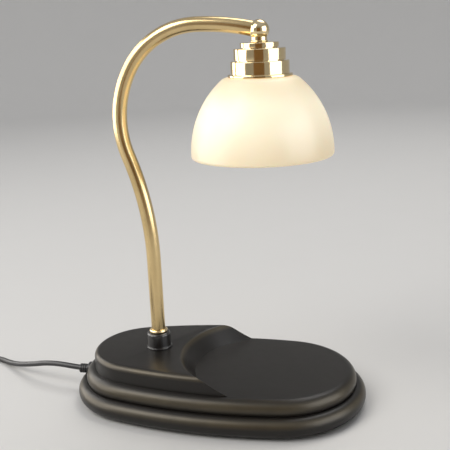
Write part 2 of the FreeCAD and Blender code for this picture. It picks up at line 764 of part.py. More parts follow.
# Fitter: a spun cap and skirt on a threaded nipple
nipple_hole = head_nipple_radius + running_gap
line_level = -crown_height - joint_line
cap_foot = line_level - cap_height
cap_bottom = cap_foot - joint_line
cap_inner = cap_radius - joint_line_depth - spun_wall
crown_inner = crown_radius - joint_line_depth - spun_wall
node("fitter_cap", turned(
    "fitter_cap",
    [(nipple_hole, ZERO), (crown_radius - drum_round, ZERO), (crown_radius, -drum_round),
     (crown_radius, -crown_height), (crown_radius - joint_line_depth, -crown_height),
     (crown_radius - joint_line_depth, line_level), (cap_radius - drum_round, line_level),
     (cap_radius, line_level - drum_round), (cap_radius, cap_foot),
     (cap_radius - joint_line_depth, cap_foot), (cap_radius - joint_line_depth, cap_bottom),
     (cap_inner, cap_bottom), (cap_inner, line_level - spun_wall),
     (crown_inner, line_level - spun_wall), (crown_inner, -spun_wall),
     (nipple_hole, -spun_wall)],
    {1: (drum_round, 1), 6: (drum_round, 1)}, head_x, seat_level))
skirt_top = seat_level + cap_bottom
flange_bottom = -skirt_height - flange_height
neck_inner = neck_thread_radius - neck_thread_wall
node("fitter_skirt", turned(
    "fitter_skirt",
    [(nipple_hole, ZERO), (skirt_radius - drum_round, ZERO), (skirt_radius, -drum_round),
     (skirt_radius, -skirt_height), (flange_radius - drum_round, -skirt_height),
     (flange_radius, -skirt_height - drum_round), (flange_radius, flange_bottom),
     (neck_thread_radius, flange_bottom),
     (neck_thread_radius, flange_bottom - neck_thread_length),
     (neck_inner, flange_bottom - neck_thread_length), (neck_inner, flange_bottom + spun_wall),
     (skirt_radius - spun_wall, flange_bottom + spun_wall),
     (skirt_radius - spun_wall, -spun_wall), (nipple_hole, -spun_wall)],
    {1: (drum_round, 1), 4: (drum_round, 1)}, head_x, skirt_top))

# Glass shade, clamped under the flange by a gasket and a screwed ring
glass_level = skirt_top + flange_bottom
glass_hole = neck_thread_radius + loose_gap
side_z = shade_skirt_height - shade_height
shoulder_z = -shade_shoulder_radius
shoulder_arc_x = glass_hole + shade_top_flat
shoulder_out = shade_radius - shoulder_arc_x
shoulder_rise = shoulder_z - side_z
shade_side_radius = ((shoulder_out * shoulder_out + shoulder_rise * shoulder_rise
                      - shade_shoulder_radius * shade_shoulder_radius)
                     / (2 * (shoulder_out - shade_shoulder_radius)))
side_x = shade_radius - shade_side_radius
span = shade_side_radius - shade_shoulder_radius


def shade_joint(radius):
    """Where the shoulder arc runs into the side arc, on a curve of this side radius."""
    return (side_x + (shoulder_arc_x - side_x) * radius / span,
            side_z + (shoulder_z - side_z) * radius / span)


lip = shade_wall / 2
node("shade", turned(
    "shade",
    [(glass_hole, ZERO), (shoulder_arc_x, ZERO), shade_joint(shade_side_radius),
     (shade_radius, side_z), (shade_radius, lip - shade_height),
     (shade_radius - lip, -shade_height), (shade_radius - shade_wall, lip - shade_height),
     (shade_radius - shade_wall, side_z), shade_joint(shade_side_radius - shade_wall),
     (shoulder_arc_x, -shade_wall), (glass_hole, -shade_wall)],
    {1: (shade_shoulder_radius, 1), 2: (shade_side_radius, 1), 4: (lip, 1), 5: (lip, 1),
     7: (shade_side_radius - shade_wall, -1), 8: (shade_shoulder_radius - shade_wall, -1)},
    head_x, glass_level))
gasket_level = glass_level - shade_wall - gasket_thickness
node("shade_gasket", tube("shade_gasket", gasket_radius, neck_thread_radius + loose_gap,
                          gasket_thickness, head_x, gasket_level))
node("shade_ring", tube("shade_ring", shade_ring_radius, neck_thread_radius + thread_gap,
                        shade_ring_thickness, head_x, gasket_level - shade_ring_thickness))

# Lamp holder on its strap, under the skirt's top
strap_level = skirt_top - spun_wall
leg = strap_leg_spacing / 2
leg_outer = leg + strap_thickness
foot_top = -strap_drop
foot_under = foot_top - strap_thickness
strap_end = strap_length / 2
strap_body = new_body("strap_body")
strap_sketch = new_sketch(strap_body, "strap_profile", "XZ_Plane")
draw(strap_sketch,
     [(-leg_outer, ZERO), (leg_outer, ZERO), (leg_outer, foot_top), (strap_end, foot_top),
      (strap_end, foot_under), (leg, foot_under), (leg, -strap_thickness),
      (-leg, -strap_thickness), (-leg, foot_under), (-strap_end, foot_under),
      (-strap_end, foot_top), (-leg_outer, foot_top)])
pad(strap_body, strap_sketch, strap_width, both=True)
move(strap_body, head_x, ZERO, strap_level)
socket_top = strap_level + foot_under
socket_bottom = socket_top - socket_height
screw_xs = [head_x + socket_screw_spacing / 2, head_x - socket_screw_spacing / 2]
strap_holes = [cylinder(f"strap_hole_{i}", socket_screw_radius + thread_gap, strap_thickness * 3,
                        x, ZERO, socket_top - strap_thickness)
               for i, x in enumerate(screw_xs)]
strap_hole = cylinder("strap_hole", nipple_hole, strap_thickness * 3, head_x, ZERO,
                      strap_level - strap_thickness * 2)
node("socket_strap", cut("socket_strap", strap_body, strap_hole, *strap_holes))
head_nut_level = strap_level - strap_thickness - head_nut_height
nut("head_nut", head_nut_radius, head_nipple_radius + thread_gap, head_nut_height, head_x,
    head_nut_level)
nipple_bottom = head_nut_level - loose_gap
node("head_nipple", tube("head_nipple", head_nipple_radius, head_nipple_bore,
                         seat_level + head_nipple_engagement - nipple_bottom,
                         head_x, nipple_bottom))

pin_circle = pin_spacing / 2
head_gap = pin_head_radius + loose_gap
neck_gap = pin_neck_radius + loose_gap
channel_level = socket_bottom + socket_face_thickness
channel_height = pin_head_height + loose_gap * 2


def arc_slot(name, half_width, z, height, start):
    """A curved slot on the pin circle that runs from start through the twist angle."""
    outer = cylinder(name + "_outer", pin_circle + half_width, height, head_x, ZERO, z,
                     Rotation(Vector(0, 0, 1), start))
    inner = cylinder(name + "_inner", pin_circle - half_width, height * 2, head_x, ZERO,
                     z - height / 2)
    bind(outer, Angle=twist_angle)
    caps = []
    for i, angle in enumerate((Size(start), start + twist_angle)):
        caps.append(cylinder(f"{name}_cap_{i}", half_width, height,
                             head_x + pin_circle * cosine(angle), pin_circle * sine(angle), z))
    return fuse(name, cut(name + "_arc", outer, inner), *caps)


keyholes = []
for i, start in enumerate((90, 270)):
    release = start + twist_angle
    keyholes.append(arc_slot(f"neck_slot_{i}", neck_gap, socket_bottom - overrun,
                             socket_face_thickness + overrun * 2, start))
    keyholes.append(arc_slot(f"head_channel_{i}", head_gap, channel_level, channel_height, start))
    keyholes.append(cylinder(f"entry_{i}", head_gap, socket_face_thickness + overrun * 2,
                             head_x + pin_circle * cosine(release), pin_circle * sine(release),
                             socket_bottom - overrun))
contact_level = channel_level + channel_height
contact_reach = pin_circle + contact_width / 2 - lead_offset + lead_radius
contact_middle = lead_offset - lead_radius + contact_reach / 2
pockets = []
contacts = []
for i, side in enumerate((1, -1)):
    pockets.append(block(f"contact_pocket_{i}", contact_width + running_gap * 2,
                         contact_reach + running_gap * 2, contact_thickness + running_gap,
                         head_x, contact_middle * side, contact_level))
    contacts.append(block(f"contact_{i}", contact_width, contact_reach, contact_thickness,
                          head_x, contact_middle * side, contact_level))
    pockets.append(cylinder(f"lead_hole_{i}", lead_radius + running_gap, socket_height,
                            head_x, lead_offset * side, contact_level + contact_thickness))
    pockets.append(cylinder(f"screw_hole_{i}", socket_screw_radius + running_gap,
                            socket_height * 2, screw_xs[i], ZERO,
                            socket_bottom - socket_height / 2))
    pockets.append(cylinder(f"screw_recess_{i}", socket_screw_head_radius + running_gap,
                            socket_screw_head_height * 2, screw_xs[i], ZERO,
                            socket_bottom - socket_screw_head_height))
socket_solid = cylinder("socket_solid", socket_radius, socket_height, head_x, ZERO, socket_bottom)
node("socket_body", cut("socket_body", socket_solid, *keyholes, *pockets))
socket_contacts = doc.addObject("Part::Compound", "socket_contacts")
socket_contacts.Links = contacts
node("socket_contacts", socket_contacts)
holder_screws = doc.addObject("Part::Compound", "socket_screws")
holder_screws.Links = [
    fuse(f"holder_screw_{i}",
         cylinder(f"holder_head_{i}", socket_screw_head_radius, socket_screw_head_height, x, ZERO,
                  socket_bottom),
         cylinder(f"holder_shank_{i}", socket_screw_radius, socket_height + strap_thickness,
                  x, ZERO, socket_bottom))
    for i, x in enumerate(screw_xs)]
node("socket_screws", holder_screws)

# Reflector bulb with two twist-lock pins
bulb_level = socket_bottom - loose_gap
base_foot = bulb_level - bulb_base_height
stem_length = bulb_base_height / 2
pin_spots = [pin_circle, -pin_circle]
bulb_base_solid = cylinder("bulb_base_solid", bulb_base_radius, bulb_base_height, head_x, ZERO,
                           base_foot)
stem_hole = cylinder("stem_hole", capsule_stem + running_gap, stem_length + running_gap,
                     head_x, ZERO, base_foot)
pin_holes = [cylinder(f"pin_hole_{i}", pin_neck_radius + running_gap, pin_depth * 2,
                      head_x, y, bulb_level - pin_depth)
             for i, y in enumerate(pin_spots)]
node("bulb_base", cut("bulb_base", bulb_base_solid, stem_hole, *pin_holes))
pin_head_level = channel_level + loose_gap
bulb_pins = doc.addObject("Part::Compound", "bulb_pins")
bulb_pins.Links = [
    fuse(f"pin_{i}",
         cylinder(f"pin_neck_{i}", pin_neck_radius, pin_head_level + overrun - bulb_level + pin_depth,
                  head_x, y, bulb_level - pin_depth),
         cylinder(f"pin_head_{i}", pin_head_radius, pin_head_height, head_x, y, pin_head_level))
    for i, y in enumerate(pin_spots)]
node("bulb_pins", bulb_pins)
ledge = reflector_wall + lens_ledge
node("bulb_reflector", turned(
    "bulb_reflector",
    [(bulb_base_radius, ZERO), (reflector_radius, -reflector_depth),
     (reflector_radius, -reflector_depth - reflector_rim),
     (reflector_radius - reflector_wall, -reflector_depth - reflector_rim),
     (reflector_radius - reflector_wall, -reflector_depth),
     (reflector_radius - ledge, -reflector_depth), (bulb_base_radius - ledge, ZERO)],
    {0: (reflector_bulge, 1), 5: (reflector_bulge - reflector_wall, -1)}, head_x, base_foot))
lens_radius = reflector_radius - reflector_wall - running_gap
node("bulb_lens", cylinder("bulb_lens", lens_radius, lens_thickness, head_x, ZERO,
                           base_foot - reflector_depth - lens_thickness))
node("bulb_capsule", turned(
    "bulb_capsule",
    [(ZERO, stem_length), (ZERO, -capsule_length), (capsule_radius, capsule_radius - capsule_length),
     (capsule_radius, -capsule_radius / 2), (capsule_stem, ZERO), (capsule_stem, stem_length)],
    {1: (capsule_radius, -1)}, head_x, base_foot))

# Terminal block in the base and the two leads up the arm to the lamp holder
bushing_inner_x = flange_face_x + bushing_body_length
block_x = bushing_inner_x + block_gap + block_length / 2
block_face_x = block_x + block_length / 2
block_tail_x = block_x - block_length / 2
block_level = ceiling - block_height
block_solid = block("block_solid", block_length, block_width, block_height, block_x, ZERO,
                    block_level)
cord_hole = cylinder("cord_hole", cord_radius + running_gap, lead_entry + overrun,
                     block_tail_x - overrun, ZERO, cord_exit_height, ALONG_X)
lead_holes = [cylinder(f"block_lead_hole_{i}", lead_radius + running_gap, lead_entry + overrun,
                       block_face_x - lead_entry, lead_offset * side, cord_exit_height, ALONG_X)
              for i, side in enumerate((1, -1))]
terminal_radius = lead_radius + loose_gap
terminal_length = cord_exit_height - lead_radius - running_gap - block_level
first_terminal_x = block_face_x - lead_entry / 2
terminal_spots = [(first_terminal_x, lead_offset * 2),
                  (first_terminal_x - terminal_pitch, lead_offset * -2)]
terminal_holes = [cylinder(f"terminal_hole_{i}", terminal_radius + running_gap,
                           terminal_length + overrun, x, y, block_level - overrun)
                  for i, (x, y) in enumerate(terminal_spots)]
node("terminal_block", cut("terminal_block", block_solid, cord_hole, *lead_holes,
                           *terminal_holes))
terminal_screws = doc.addObject("Part::Compound", "terminal_screws")
terminal_screws.Links = [cylinder(f"terminal_screw_{i}", terminal_radius, terminal_length,
                                  x, y, block_level)
                         for i, (x, y) in enumerate(terminal_spots)]
node("terminal_screws", terminal_screws)

turn_reach = lead_turn_radius * (cosine(droop_angle) / (1 + sine(droop_angle)))
leads = []
for i, side in enumerate((1, -1)):
    lead = new_body(f"lead_{i}")
    lead_path = new_sketch(lead, f"lead_path_{i}", "XZ_Plane", lead_offset * side)
    draw_path(lead_path,
              [(block_face_x - lead_entry, cord_exit_height),
               (arm_axis_x - lead_foot_radius, cord_exit_height),
               (arm_axis_x, cord_exit_height + lead_foot_radius), *arm_bends,
               before_ball(turn_reach), (head_x, ball_height - turn_reach),
               (head_x, contact_level + contact_thickness)],
              {1: (lead_foot_radius, -1), **dict(enumerate(arm_arcs, 3)),
               8: (lead_turn_radius, 1)})
    lead_ring = new_sketch(lead, f"lead_ring_{i}", "YZ_Plane", block_face_x - lead_entry)
    ring(lead_ring, lead_radius, -lead_offset * side, cord_exit_height)
    pipe(lead, lead_ring, lead_path)
    leads.append(lead)
arm_leads = doc.addObject("Part::Compound", "arm_leads")
arm_leads.Links = leads
node("arm_leads", arm_leads)

# Cord bushing: a flange and nose outside the base, a body and clips inside
clip_x = narrow_centre_x - narrow_end_radius + base_wall + loose_gap
bushing_solid = fuse(
    "bushing_solid",
    cylinder("bushing_flange", bushing_flange_radius, bushing_flange_thickness,
             flange_face_x - bushing_flange_thickness, ZERO, cord_exit_height, ALONG_X),
    cylinder("bushing_body", bushing_body_radius, bushing_body_length, flange_face_x, ZERO,
             cord_exit_height, ALONG_X),
    cone("bushing_nose", bushing_nose_radius, bushing_body_radius, bushing_nose_length,
         flange_face_x - bushing_flange_thickness - bushing_nose_length, ZERO, cord_exit_height,
         ALONG_X),
    cone("bushing_clip", bushing_clip_radius, bushing_body_radius, bushing_clip_length, clip_x,
         ZERO, cord_exit_height, ALONG_X))
bushing_bore = cylinder("bushing_bore", cord_radius + running_gap, bushing_body_length * 3,
                        flange_face_x - bushing_body_length * 1.5, ZERO, cord_exit_height, ALONG_X)
bushing_mouth = cone("bushing_mouth", bushing_mouth_radius, cord_radius + running_gap,
                     bushing_nose_length + bushing_body_length / 2,
                     flange_face_x - bushing_flange_thickness - bushing_nose_length, ZERO,
                     cord_exit_height, ALONG_X)
node("cord_bushing", cut("cord_bushing", bushing_solid, bushing_bore, bushing_mouth))

# Mains cord: tubes of straight runs and tangent arcs, each arc as wide as its runs allow
EASE = 0.45
COIL_STEP = 2 * math.pi / 4
GAP_STEP = 1.5
GAP_SKIP = 30


def route_wire(name, points):
    """A path of straight runs joined by tangent arcs. Prints the arcs' radii."""
    spots = [Vector(*point) for point in points]
    edges, radii, start = [], [], spots[0]
    for before, corner, after in zip(spots, spots[1:], spots[2:]):
        into, out = corner - before, after - corner
        half_turn = into.getAngle(out) / 2
        ease = EASE * min(into.Length, out.Length)
        radius = ease / math.tan(half_turn)
        first = corner - into.normalize() * ease
        last = corner + out.normalize() * ease
        chord = (first + last) * 0.5
        depth = (corner - chord).Length * math.cos(half_turn) / (1 + math.cos(half_turn))
        middle = chord + (corner - chord).normalize() * depth
        edges.append(Part.LineSegment(start, first).toShape())
        edges.append(Part.Arc(first, middle, last).toShape())
        radii.append(round(radius, 1))
        start = last
    edges.append(Part.LineSegment(start, spots[-1]).toShape())
    print(name, "arc radii", radii)
    return Part.Wire(edges)


def sweep(name, wire):
    """The round cord along a wire. Prints its volume against section times length."""
    start = wire.Edges[0].valueAt(wire.Edges[0].FirstParameter)
    heading = wire.Edges[0].tangentAt(wire.Edges[0].FirstParameter)
    section = Part.Wire([Part.Circle(start, heading, cord_radius.value).toShape()])
    thing = doc.addObject("Part::Feature", name)
    thing.Shape = wire.makePipeShell([section], True, False)
    share = thing.Shape.Volume / (math.pi * cord_radius.value ** 2 * wire.Length)
    print(f"{name} length {wire.Length:.1f} volume share {share:.4f}")
    return node(name, thing)


switch_axis = switch_height.value / 2
switch_top_y = (switch_y + switch_length / 2).value
switch_foot_y = (switch_y - switch_length / 2).value
exit_z = cord_exit_height.value
floor_z = cord_radius.value
lamp_route = [
    ((block_tail_x + lead_entry).value, 0, exit_z),
    (-104, 0.1, exit_z + 0.1),
    (-130, 4.8, exit_z + 0.9),
    (-154, 14.5, 9.5),
    (-175, 27.5, 3.0),
    (-193, 39, floor_z),
    (-213.9, 36.8, floor_z),
    (-228.5, 21.7, 3.2),
    (switch_x.value + 0.1, 0.9, 8.6),
    (switch_x.value, switch_top_y - cord_entry.value, switch_axis),
]
sweep("lamp_cord", route_wire("lamp_cord", lamp_route))

# Coil: round turns that spiral in and out in four layers, from the floor up
coil_spread = coil_pitch * coil_turns
coil_outer = (coil_middle_radius + coil_spread / 2).value
coil_inner = (coil_middle_radius - coil_spread / 2).value
pitch = coil_pitch.value
coil_x = switch_x.value + coil_outer
layer_angle = 2 * math.pi * coil_turns.value
layer_count = round(coil_layers.value)


def coil_point(angle, radius, z):
    return Vector(coil_x + radius * math.cos(angle), coil_y.value + radius * math.sin(angle), z)


def coil_spots():
    """The coil's points in order: a layer in or out, then a half turn up to the next."""
    spots, angle, z = [], math.pi, floor_z
    steps = math.ceil(layer_angle / COIL_STEP)
    for layer in range(layer_count):
        inward = layer % 2 == 0
        first, last = (coil_outer, coil_inner) if inward else (coil_inner, coil_outer)
        for i in range(steps + 1):
            share = i / steps
            spots.append(coil_point(angle + layer_angle * share, first + (last - first) * share, z))
        angle += layer_angle
        if layer < layer_count - 1:
            bulge = pitch / 8 * (-1 if inward else 1)
            for share in (0.25, 0.5, 0.75):
                radius = last + bulge * 4 * share * (1 - share)
                climb = pitch * share * share * (3 - 2 * share)
                spots.append(coil_point(angle + math.pi * share, radius, z + climb))
            angle += math.pi
            z += pitch
    return spots


def coil_headings(spots):
    """The heading at each point: along the circle through it and its two neighbours."""
    headings = [Vector(0, -1, 0)]
    for before, spot, after in zip(spots, spots[1:], spots[2:]):
        circle = Part.Arc(before, spot, after)
        headings.append(circle.tangent(circle.parameter(spot))[0].normalize())
    return headings + [Vector(1, 0, 0)]


def biarc(start, heading, end, last_heading):
    """Two tangent arcs from one point and heading to the next."""
    across = end - start
    both = heading + last_heading
    spread = 2 * (1 - heading.dot(last_heading))
    lean = across.dot(both)
    reach = (math.sqrt(lean * lean + spread * across.dot(across)) - lean) / spread
    joint = (start + heading * reach + end - last_heading * reach) * 0.5
    arcs = []
    for a, corner, b in ((start, start + heading * reach, joint),
                         (joint, end - last_heading * reach, end)):
        chord = (a + b) * 0.5
        half = (corner - a).getAngle(b - corner) / 2
        middle = chord + (corner - chord) * (math.cos(half) / (1 + math.cos(half)))
        arcs.append(Part.Arc(a, middle, b).toShape())
    return arcs


def least_gap(wire):
    """The least distance between two stretches of the wire, less one diameter."""
    points = wire.discretize(Distance=GAP_STEP)
    least = math.inf
    for i, point in enumerate(points):
        for other in points[i + GAP_SKIP:]:
            least = min(least, point.distanceToPoint(other))
    return least - 2 * floor_z


spots = coil_spots()
headings = coil_headings(spots)
lead_in = spots[0] - headings[0] * (2 * floor_z)
lead_out = spots[-1] + headings[-1] * (2 * floor_z)
coil_edges = [Part.LineSegment(lead_in, spots[0]).toShape()]
for i in range(len(spots) - 1):
    coil_edges += biarc(spots[i], headings[i], spots[i + 1], headings[i + 1])
coil_edges.append(Part.LineSegment(spots[-1], lead_out).toShape())
coil_wire = Part.Wire(coil_edges)
print("cord_coil least gap to itself", round(least_gap(coil_wire), 2))
sweep("cord_coil", coil_wire)

lead_run = switch_foot_y - lead_in.y
lead_route = [
    (switch_x.value, switch_foot_y + cord_entry.value, switch_axis),
    (switch_x.value, switch_foot_y - lead_run * 0.25, switch_axis - 0.7),
    (switch_x.value + 0.3, switch_foot_y - lead_run * 0.65, floor_z + 0.5),
    (switch_x.value, lead_in.y + cord_joint_gap.value, floor_z),
]
sweep("lead_cord", route_wire("lead_cord", lead_route))
plug_axis = plug_height.value / 2
plug_x = lead_out.x + plug_reach.value
plug_route = [
    (lead_out.x + cord_joint_gap.value, lead_out.y, lead_out.z),
    (lead_out.x + 14, lead_out.y, lead_out.z - 0.6),
    (lead_out.x + 29, lead_out.y + 0.3, plug_axis + 0.6),
    (plug_x - cord_joint_gap.value, lead_out.y, plug_axis),
]
sweep("plug_cord", route_wire("plug_cord", plug_route))

# In-line switch: two shells, a rocker on two stub pins, its contacts and a screw
half_length = switch_length / 2
half_width = switch_width / 2
side_width = half_width - switch_bow
half_height = switch_height / 2


def switch_outline(body, name, inset, height):
    """A long shape with bowed sides and rounded ends."""
    sketch = new_sketch(body, name, "XY_Plane", height)
    x, y = side_width - inset, half_length - inset
    bow = (half_length * half_length + switch_bow * switch_bow) / (switch_bow * 2)
    end = (side_width * side_width + switch_bow * switch_bow) / (switch_bow * 2)
    corner = y - switch_bow
    draw(sketch, [(x, -corner), (x, corner), (-x, corner), (-x, -corner)],
         {0: (bow, -1), 1: (end, -1), 2: (bow, -1), 3: (end, -1)})
    return sketch


def switch_shell(name, bottom, round_level, space_bottom):
    body = new_body(name + "_body")
    outer = pad(body, switch_outline(body, name + "_outline", ZERO, bottom), half_height)
    doc.recompute()
    round_edges(body, outer, edges_at(outer.Shape, round_level), switch_round)
    space = new_body(name + "_space")
    pad(space, switch_outline(space, name + "_space_outline", switch_wall, space_bottom),
        half_height)
    for thing in (body, space):
        move(thing, switch_x, switch_y)
    return cut(name + "_casing", body, space)


lower_casing = switch_shell("switch_lower", ZERO, ZERO, switch_wall)
upper_casing = switch_shell("switch_upper", half_height, switch_height, -switch_wall + half_height)
cord_notch = cylinder("cord_notch", cord_radius + loose_gap, switch_length * 2, switch_x,
                      switch_y - switch_length, half_height, ALONG_Y)
case_screw_y = switch_y - half_length + switch_length / 5
lower_post = cylinder("lower_post", switch_post_radius, half_height - switch_wall / 2, switch_x,
                      case_screw_y, switch_wall / 2)
upper_post = cylinder("upper_post", switch_post_radius, half_height - switch_wall / 2, switch_x,
                      case_screw_y, half_height)
case_screw_length = switch_height - switch_wall * 2
case_pilot = cylinder("case_pilot", socket_screw_radius + thread_gap, case_screw_length,
                      switch_x, case_screw_y, ZERO)
case_recess = cylinder("case_recess", socket_screw_head_radius + running_gap,
                       socket_screw_head_height * 2, switch_x, case_screw_y,
                       -socket_screw_head_height)
node("switch_lower_shell", cut("switch_lower_shell", fuse("lower_solid", lower_casing, lower_post),
                               cord_notch, case_pilot, case_recess))
pivot_level = switch_height - rocker_pivot_drop
window = block("window", rocker_width + loose_gap * 2, rocker_length + rocker_end_gap * 2,
               switch_wall * 3, switch_x, switch_y, switch_height - switch_wall * 2)
ear_x = rocker_width / 2 + loose_gap + ear_thickness / 2
ear_height = rocker_pivot_drop + rocker_pin_radius - switch_wall / 2 + overrun
ears = [block(f"ear_{i}", ear_thickness, rocker_length / 2, ear_height, switch_x + ear_x * side,
              switch_y, pivot_level - rocker_pin_radius - overrun)
        for i, side in enumerate((1, -1))]
pin_length = (ear_x + ear_thickness / 2) * 2
ear_bore = cylinder("ear_bore", rocker_pin_radius + running_gap, pin_length * 1.2,
                    switch_x - pin_length * 0.6, switch_y, pivot_level, ALONG_X)
node("switch_upper_shell", cut("switch_upper_shell",
                               fuse("upper_solid", upper_casing, upper_post, *ears),
                               window, ear_bore, cord_notch, case_pilot))
rocker_body = new_body("rocker_body")
rocker_sketch = new_sketch(rocker_body, "rocker_profile", "YZ_Plane")
rocker_half = rocker_length / 2
rocker_end = rocker_pivot_drop + rocker_crown
rocker_waist = rocker_end / 3
draw(rocker_sketch,
     [(-rocker_half, rocker_end), (ZERO, rocker_pivot_drop), (rocker_half, rocker_end),
      (rocker_half, rocker_waist), (rocker_half / 3, -rocker_pivot_drop),
      (-rocker_half / 3, -rocker_pivot_drop), (-rocker_half, rocker_waist)])
pad(rocker_body, rocker_sketch, rocker_width, both=True)
rocker_pin = cylinder("rocker_pin", rocker_pin_radius, pin_length, pin_length / -2, ZERO, ZERO,
                      ALONG_X)
rocker = fuse("switch_rocker", rocker_body, rocker_pin)
move(rocker, switch_x, switch_y, pivot_level, Rotation(Vector(-1, 0, 0), rocker_tilt.value))
rocker.setExpression("Placement.Rotation.Angle", rocker_tilt.text)
node("switch_rocker", rocker)
switch_contacts = doc.addObject("Part::Compound", "switch_contacts")
switch_contacts.Links = [
    fuse(f"switch_contact_{i}",
         block(f"contact_foot_{i}", switch_strip_width, switch_strip_length, contact_thickness,
               switch_x, switch_y + rocker_half * side, switch_wall),
         block(f"contact_tab_{i}", switch_strip_width, contact_thickness,
               half_height - switch_wall, switch_x, switch_y + rocker_half * side, switch_wall))
    for i, side in enumerate((1, -1))]
node("switch_contacts", switch_contacts)
node("switch_screw", fuse(
    "switch_screw",
    cylinder("case_screw_head", socket_screw_head_radius, socket_screw_head_height, switch_x,
             case_screw_y, ZERO),
    cylinder("case_screw_shank", socket_screw_radius, case_screw_length - overrun, switch_x,
             case_screw_y, ZERO)))

# Plug: a moulded body with a tapered nose and two flat blades
plug_body = new_body("plug_block")
plug_sketch = new_sketch(plug_body, "plug_outline")
plug_half = plug_width / 2
draw(plug_sketch, [(ZERO, -plug_half), (plug_length, -plug_half), (plug_length, plug_half),
                   (ZERO, plug_half)])
plug_pad = pad(plug_body, plug_sketch, plug_height)
doc.recompute()
round_edges(plug_body, plug_pad, [f"Edge{i + 1}" for i in range(len(plug_pad.Shape.Edges))],
            plug_round)
move(plug_body, plug_x + plug_nose_length.value, lead_out.y, ZERO)
plug_nose = cone("plug_nose", plug_nose_tip_radius, plug_nose_radius, plug_nose_length + overrun,
                 plug_x, lead_out.y, plug_height / 2, ALONG_X)
plug_end = plug_x + plug_nose_length + plug_length
blade_start = plug_end - blade_seat
blade_room = []
blades = []
for i, side in enumerate((1, -1)):
    y = lead_out.y + blade_spacing / 2 * side
    middle = blade_start + (blade_length + blade_seat) / 2
    blades.append(block(f"blade_{i}", blade_length + blade_seat, blade_thickness, blade_height,
                        middle, y, (plug_height - blade_height) / 2))
    blade_room.append(block(f"blade_slot_{i}", blade_length + blade_seat + running_gap * 2,
                            blade_thickness + running_gap * 2, blade_height + running_gap * 2,
                            middle, y, (plug_height - blade_height) / 2 - running_gap))
node("plug_body", cut("plug_body", fuse("plug_solid", plug_body, plug_nose), *blade_room))
plug_blades = doc.addObject("Part::Compound", "plug_blades")
plug_blades.Links = blades
node("plug_blades", plug_blades)

# Check and write every sub-part
doc.recompute()
for thing in doc.Objects:
    if "Invalid" in thing.State or "Error" in thing.State:
        raise RuntimeError(f"{thing.Name} failed: {thing.State}")
os.makedirs("parts", exist_ok=True)
for name, thing in nodes.items():
    shape = thing.Shape
    if shape.isNull() or not shape.isValid() or not shape.Solids:
        raise RuntimeError(f"{name} has no sound solid")
    shape.exportStep(f"parts/{name}.step")
    print(f"{name}: {len(shape.Solids)} solids, {shape.Volume:.0f} mm3")
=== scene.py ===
import math

import bmesh
import bpy
from mathutils import Matrix, Vector


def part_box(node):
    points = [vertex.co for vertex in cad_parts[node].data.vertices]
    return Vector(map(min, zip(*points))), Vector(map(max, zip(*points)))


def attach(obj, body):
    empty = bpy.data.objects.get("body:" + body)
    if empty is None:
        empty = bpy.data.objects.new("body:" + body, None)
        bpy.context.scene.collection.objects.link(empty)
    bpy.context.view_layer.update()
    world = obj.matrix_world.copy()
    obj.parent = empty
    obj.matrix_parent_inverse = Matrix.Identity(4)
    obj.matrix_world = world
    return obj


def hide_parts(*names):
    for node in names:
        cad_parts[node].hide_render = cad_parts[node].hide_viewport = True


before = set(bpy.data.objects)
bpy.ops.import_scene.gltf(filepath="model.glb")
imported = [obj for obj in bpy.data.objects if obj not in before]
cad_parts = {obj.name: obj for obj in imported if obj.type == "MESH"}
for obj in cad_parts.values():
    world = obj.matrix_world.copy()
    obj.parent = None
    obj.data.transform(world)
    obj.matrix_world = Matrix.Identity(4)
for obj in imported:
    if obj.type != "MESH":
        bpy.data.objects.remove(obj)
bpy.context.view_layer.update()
scene = bpy.context.scene

# View: the camera stands a little above the shade and to the right of the lamp's middle. It
# looks slightly down and to the left, with a small roll, as the photograph was taken.
MM = 0.001
CAMERA_PLACE = Vector((118.0, -490.0, 257.6))
SENSOR_WIDTH, FOCAL_LENGTH = 36.0, 61.77
HEADING, PITCH, ROLL = (math.radians(angle) for angle in (12.54, 14.606, 2.489))
camera_data = bpy.data.cameras.new("view_camera")
camera_data.sensor_width = SENSOR_WIDTH
camera_data.lens = FOCAL_LENGTH
camera = bpy.data.objects.new("view_camera", camera_data)
scene.collection.objects.link(camera)
scene.camera = camera
aim = (Matrix.Rotation(HEADING, 4, "Z") @ Matrix.Rotation(math.pi / 2 - PITCH, 4, "X")
       @ Matrix.Rotation(-ROLL, 4, "Z"))
camera.matrix_world = Matrix.Translation(CAMERA_PLACE * MM) @ aim


# Mains cord: a round two-core lead, 4 mm across, in soft black plastic. It leaves the base
# at the back, lies in loose curves to the in-line switch and on into a neat coil of four
# layers, and ends at the plug.
class Wire:
    """A socket in a node tree. Sums on it, such as 1 - wear * 0.5, add Math nodes."""

    def __init__(self, tree, socket):
        self.tree = tree
        self.socket = socket

    def maths(self, operation, first, second):
        return self.tree.node("ShaderNodeMath", {"operation": operation}, {0: first, 1: second})

    def __add__(self, other):
        return self.maths("ADD", self, other)

    def __rsub__(self, other):
        return self.maths("SUBTRACT", other, self)

    def __mul__(self, other):
        return self.maths("MULTIPLY", self, other)


class Tree:
    """A node tree and the one way in which nodes are added to it."""

    def __init__(self, tree):
        self.tree = tree

    def node(self, kind, settings=None, inputs=None, output=0):
        made = self.tree.nodes.new(kind)
        for key, value in (settings or {}).items():
            setattr(made, key, value)
        self.join(made, inputs or {})
        return Wire(self, made.outputs[output])

    def join(self, node, inputs):
        for key, value in inputs.items():
            if isinstance(value, Wire):
                self.tree.links.new(value.socket, node.inputs[key])
            else:
                node.inputs[key].default_value = value


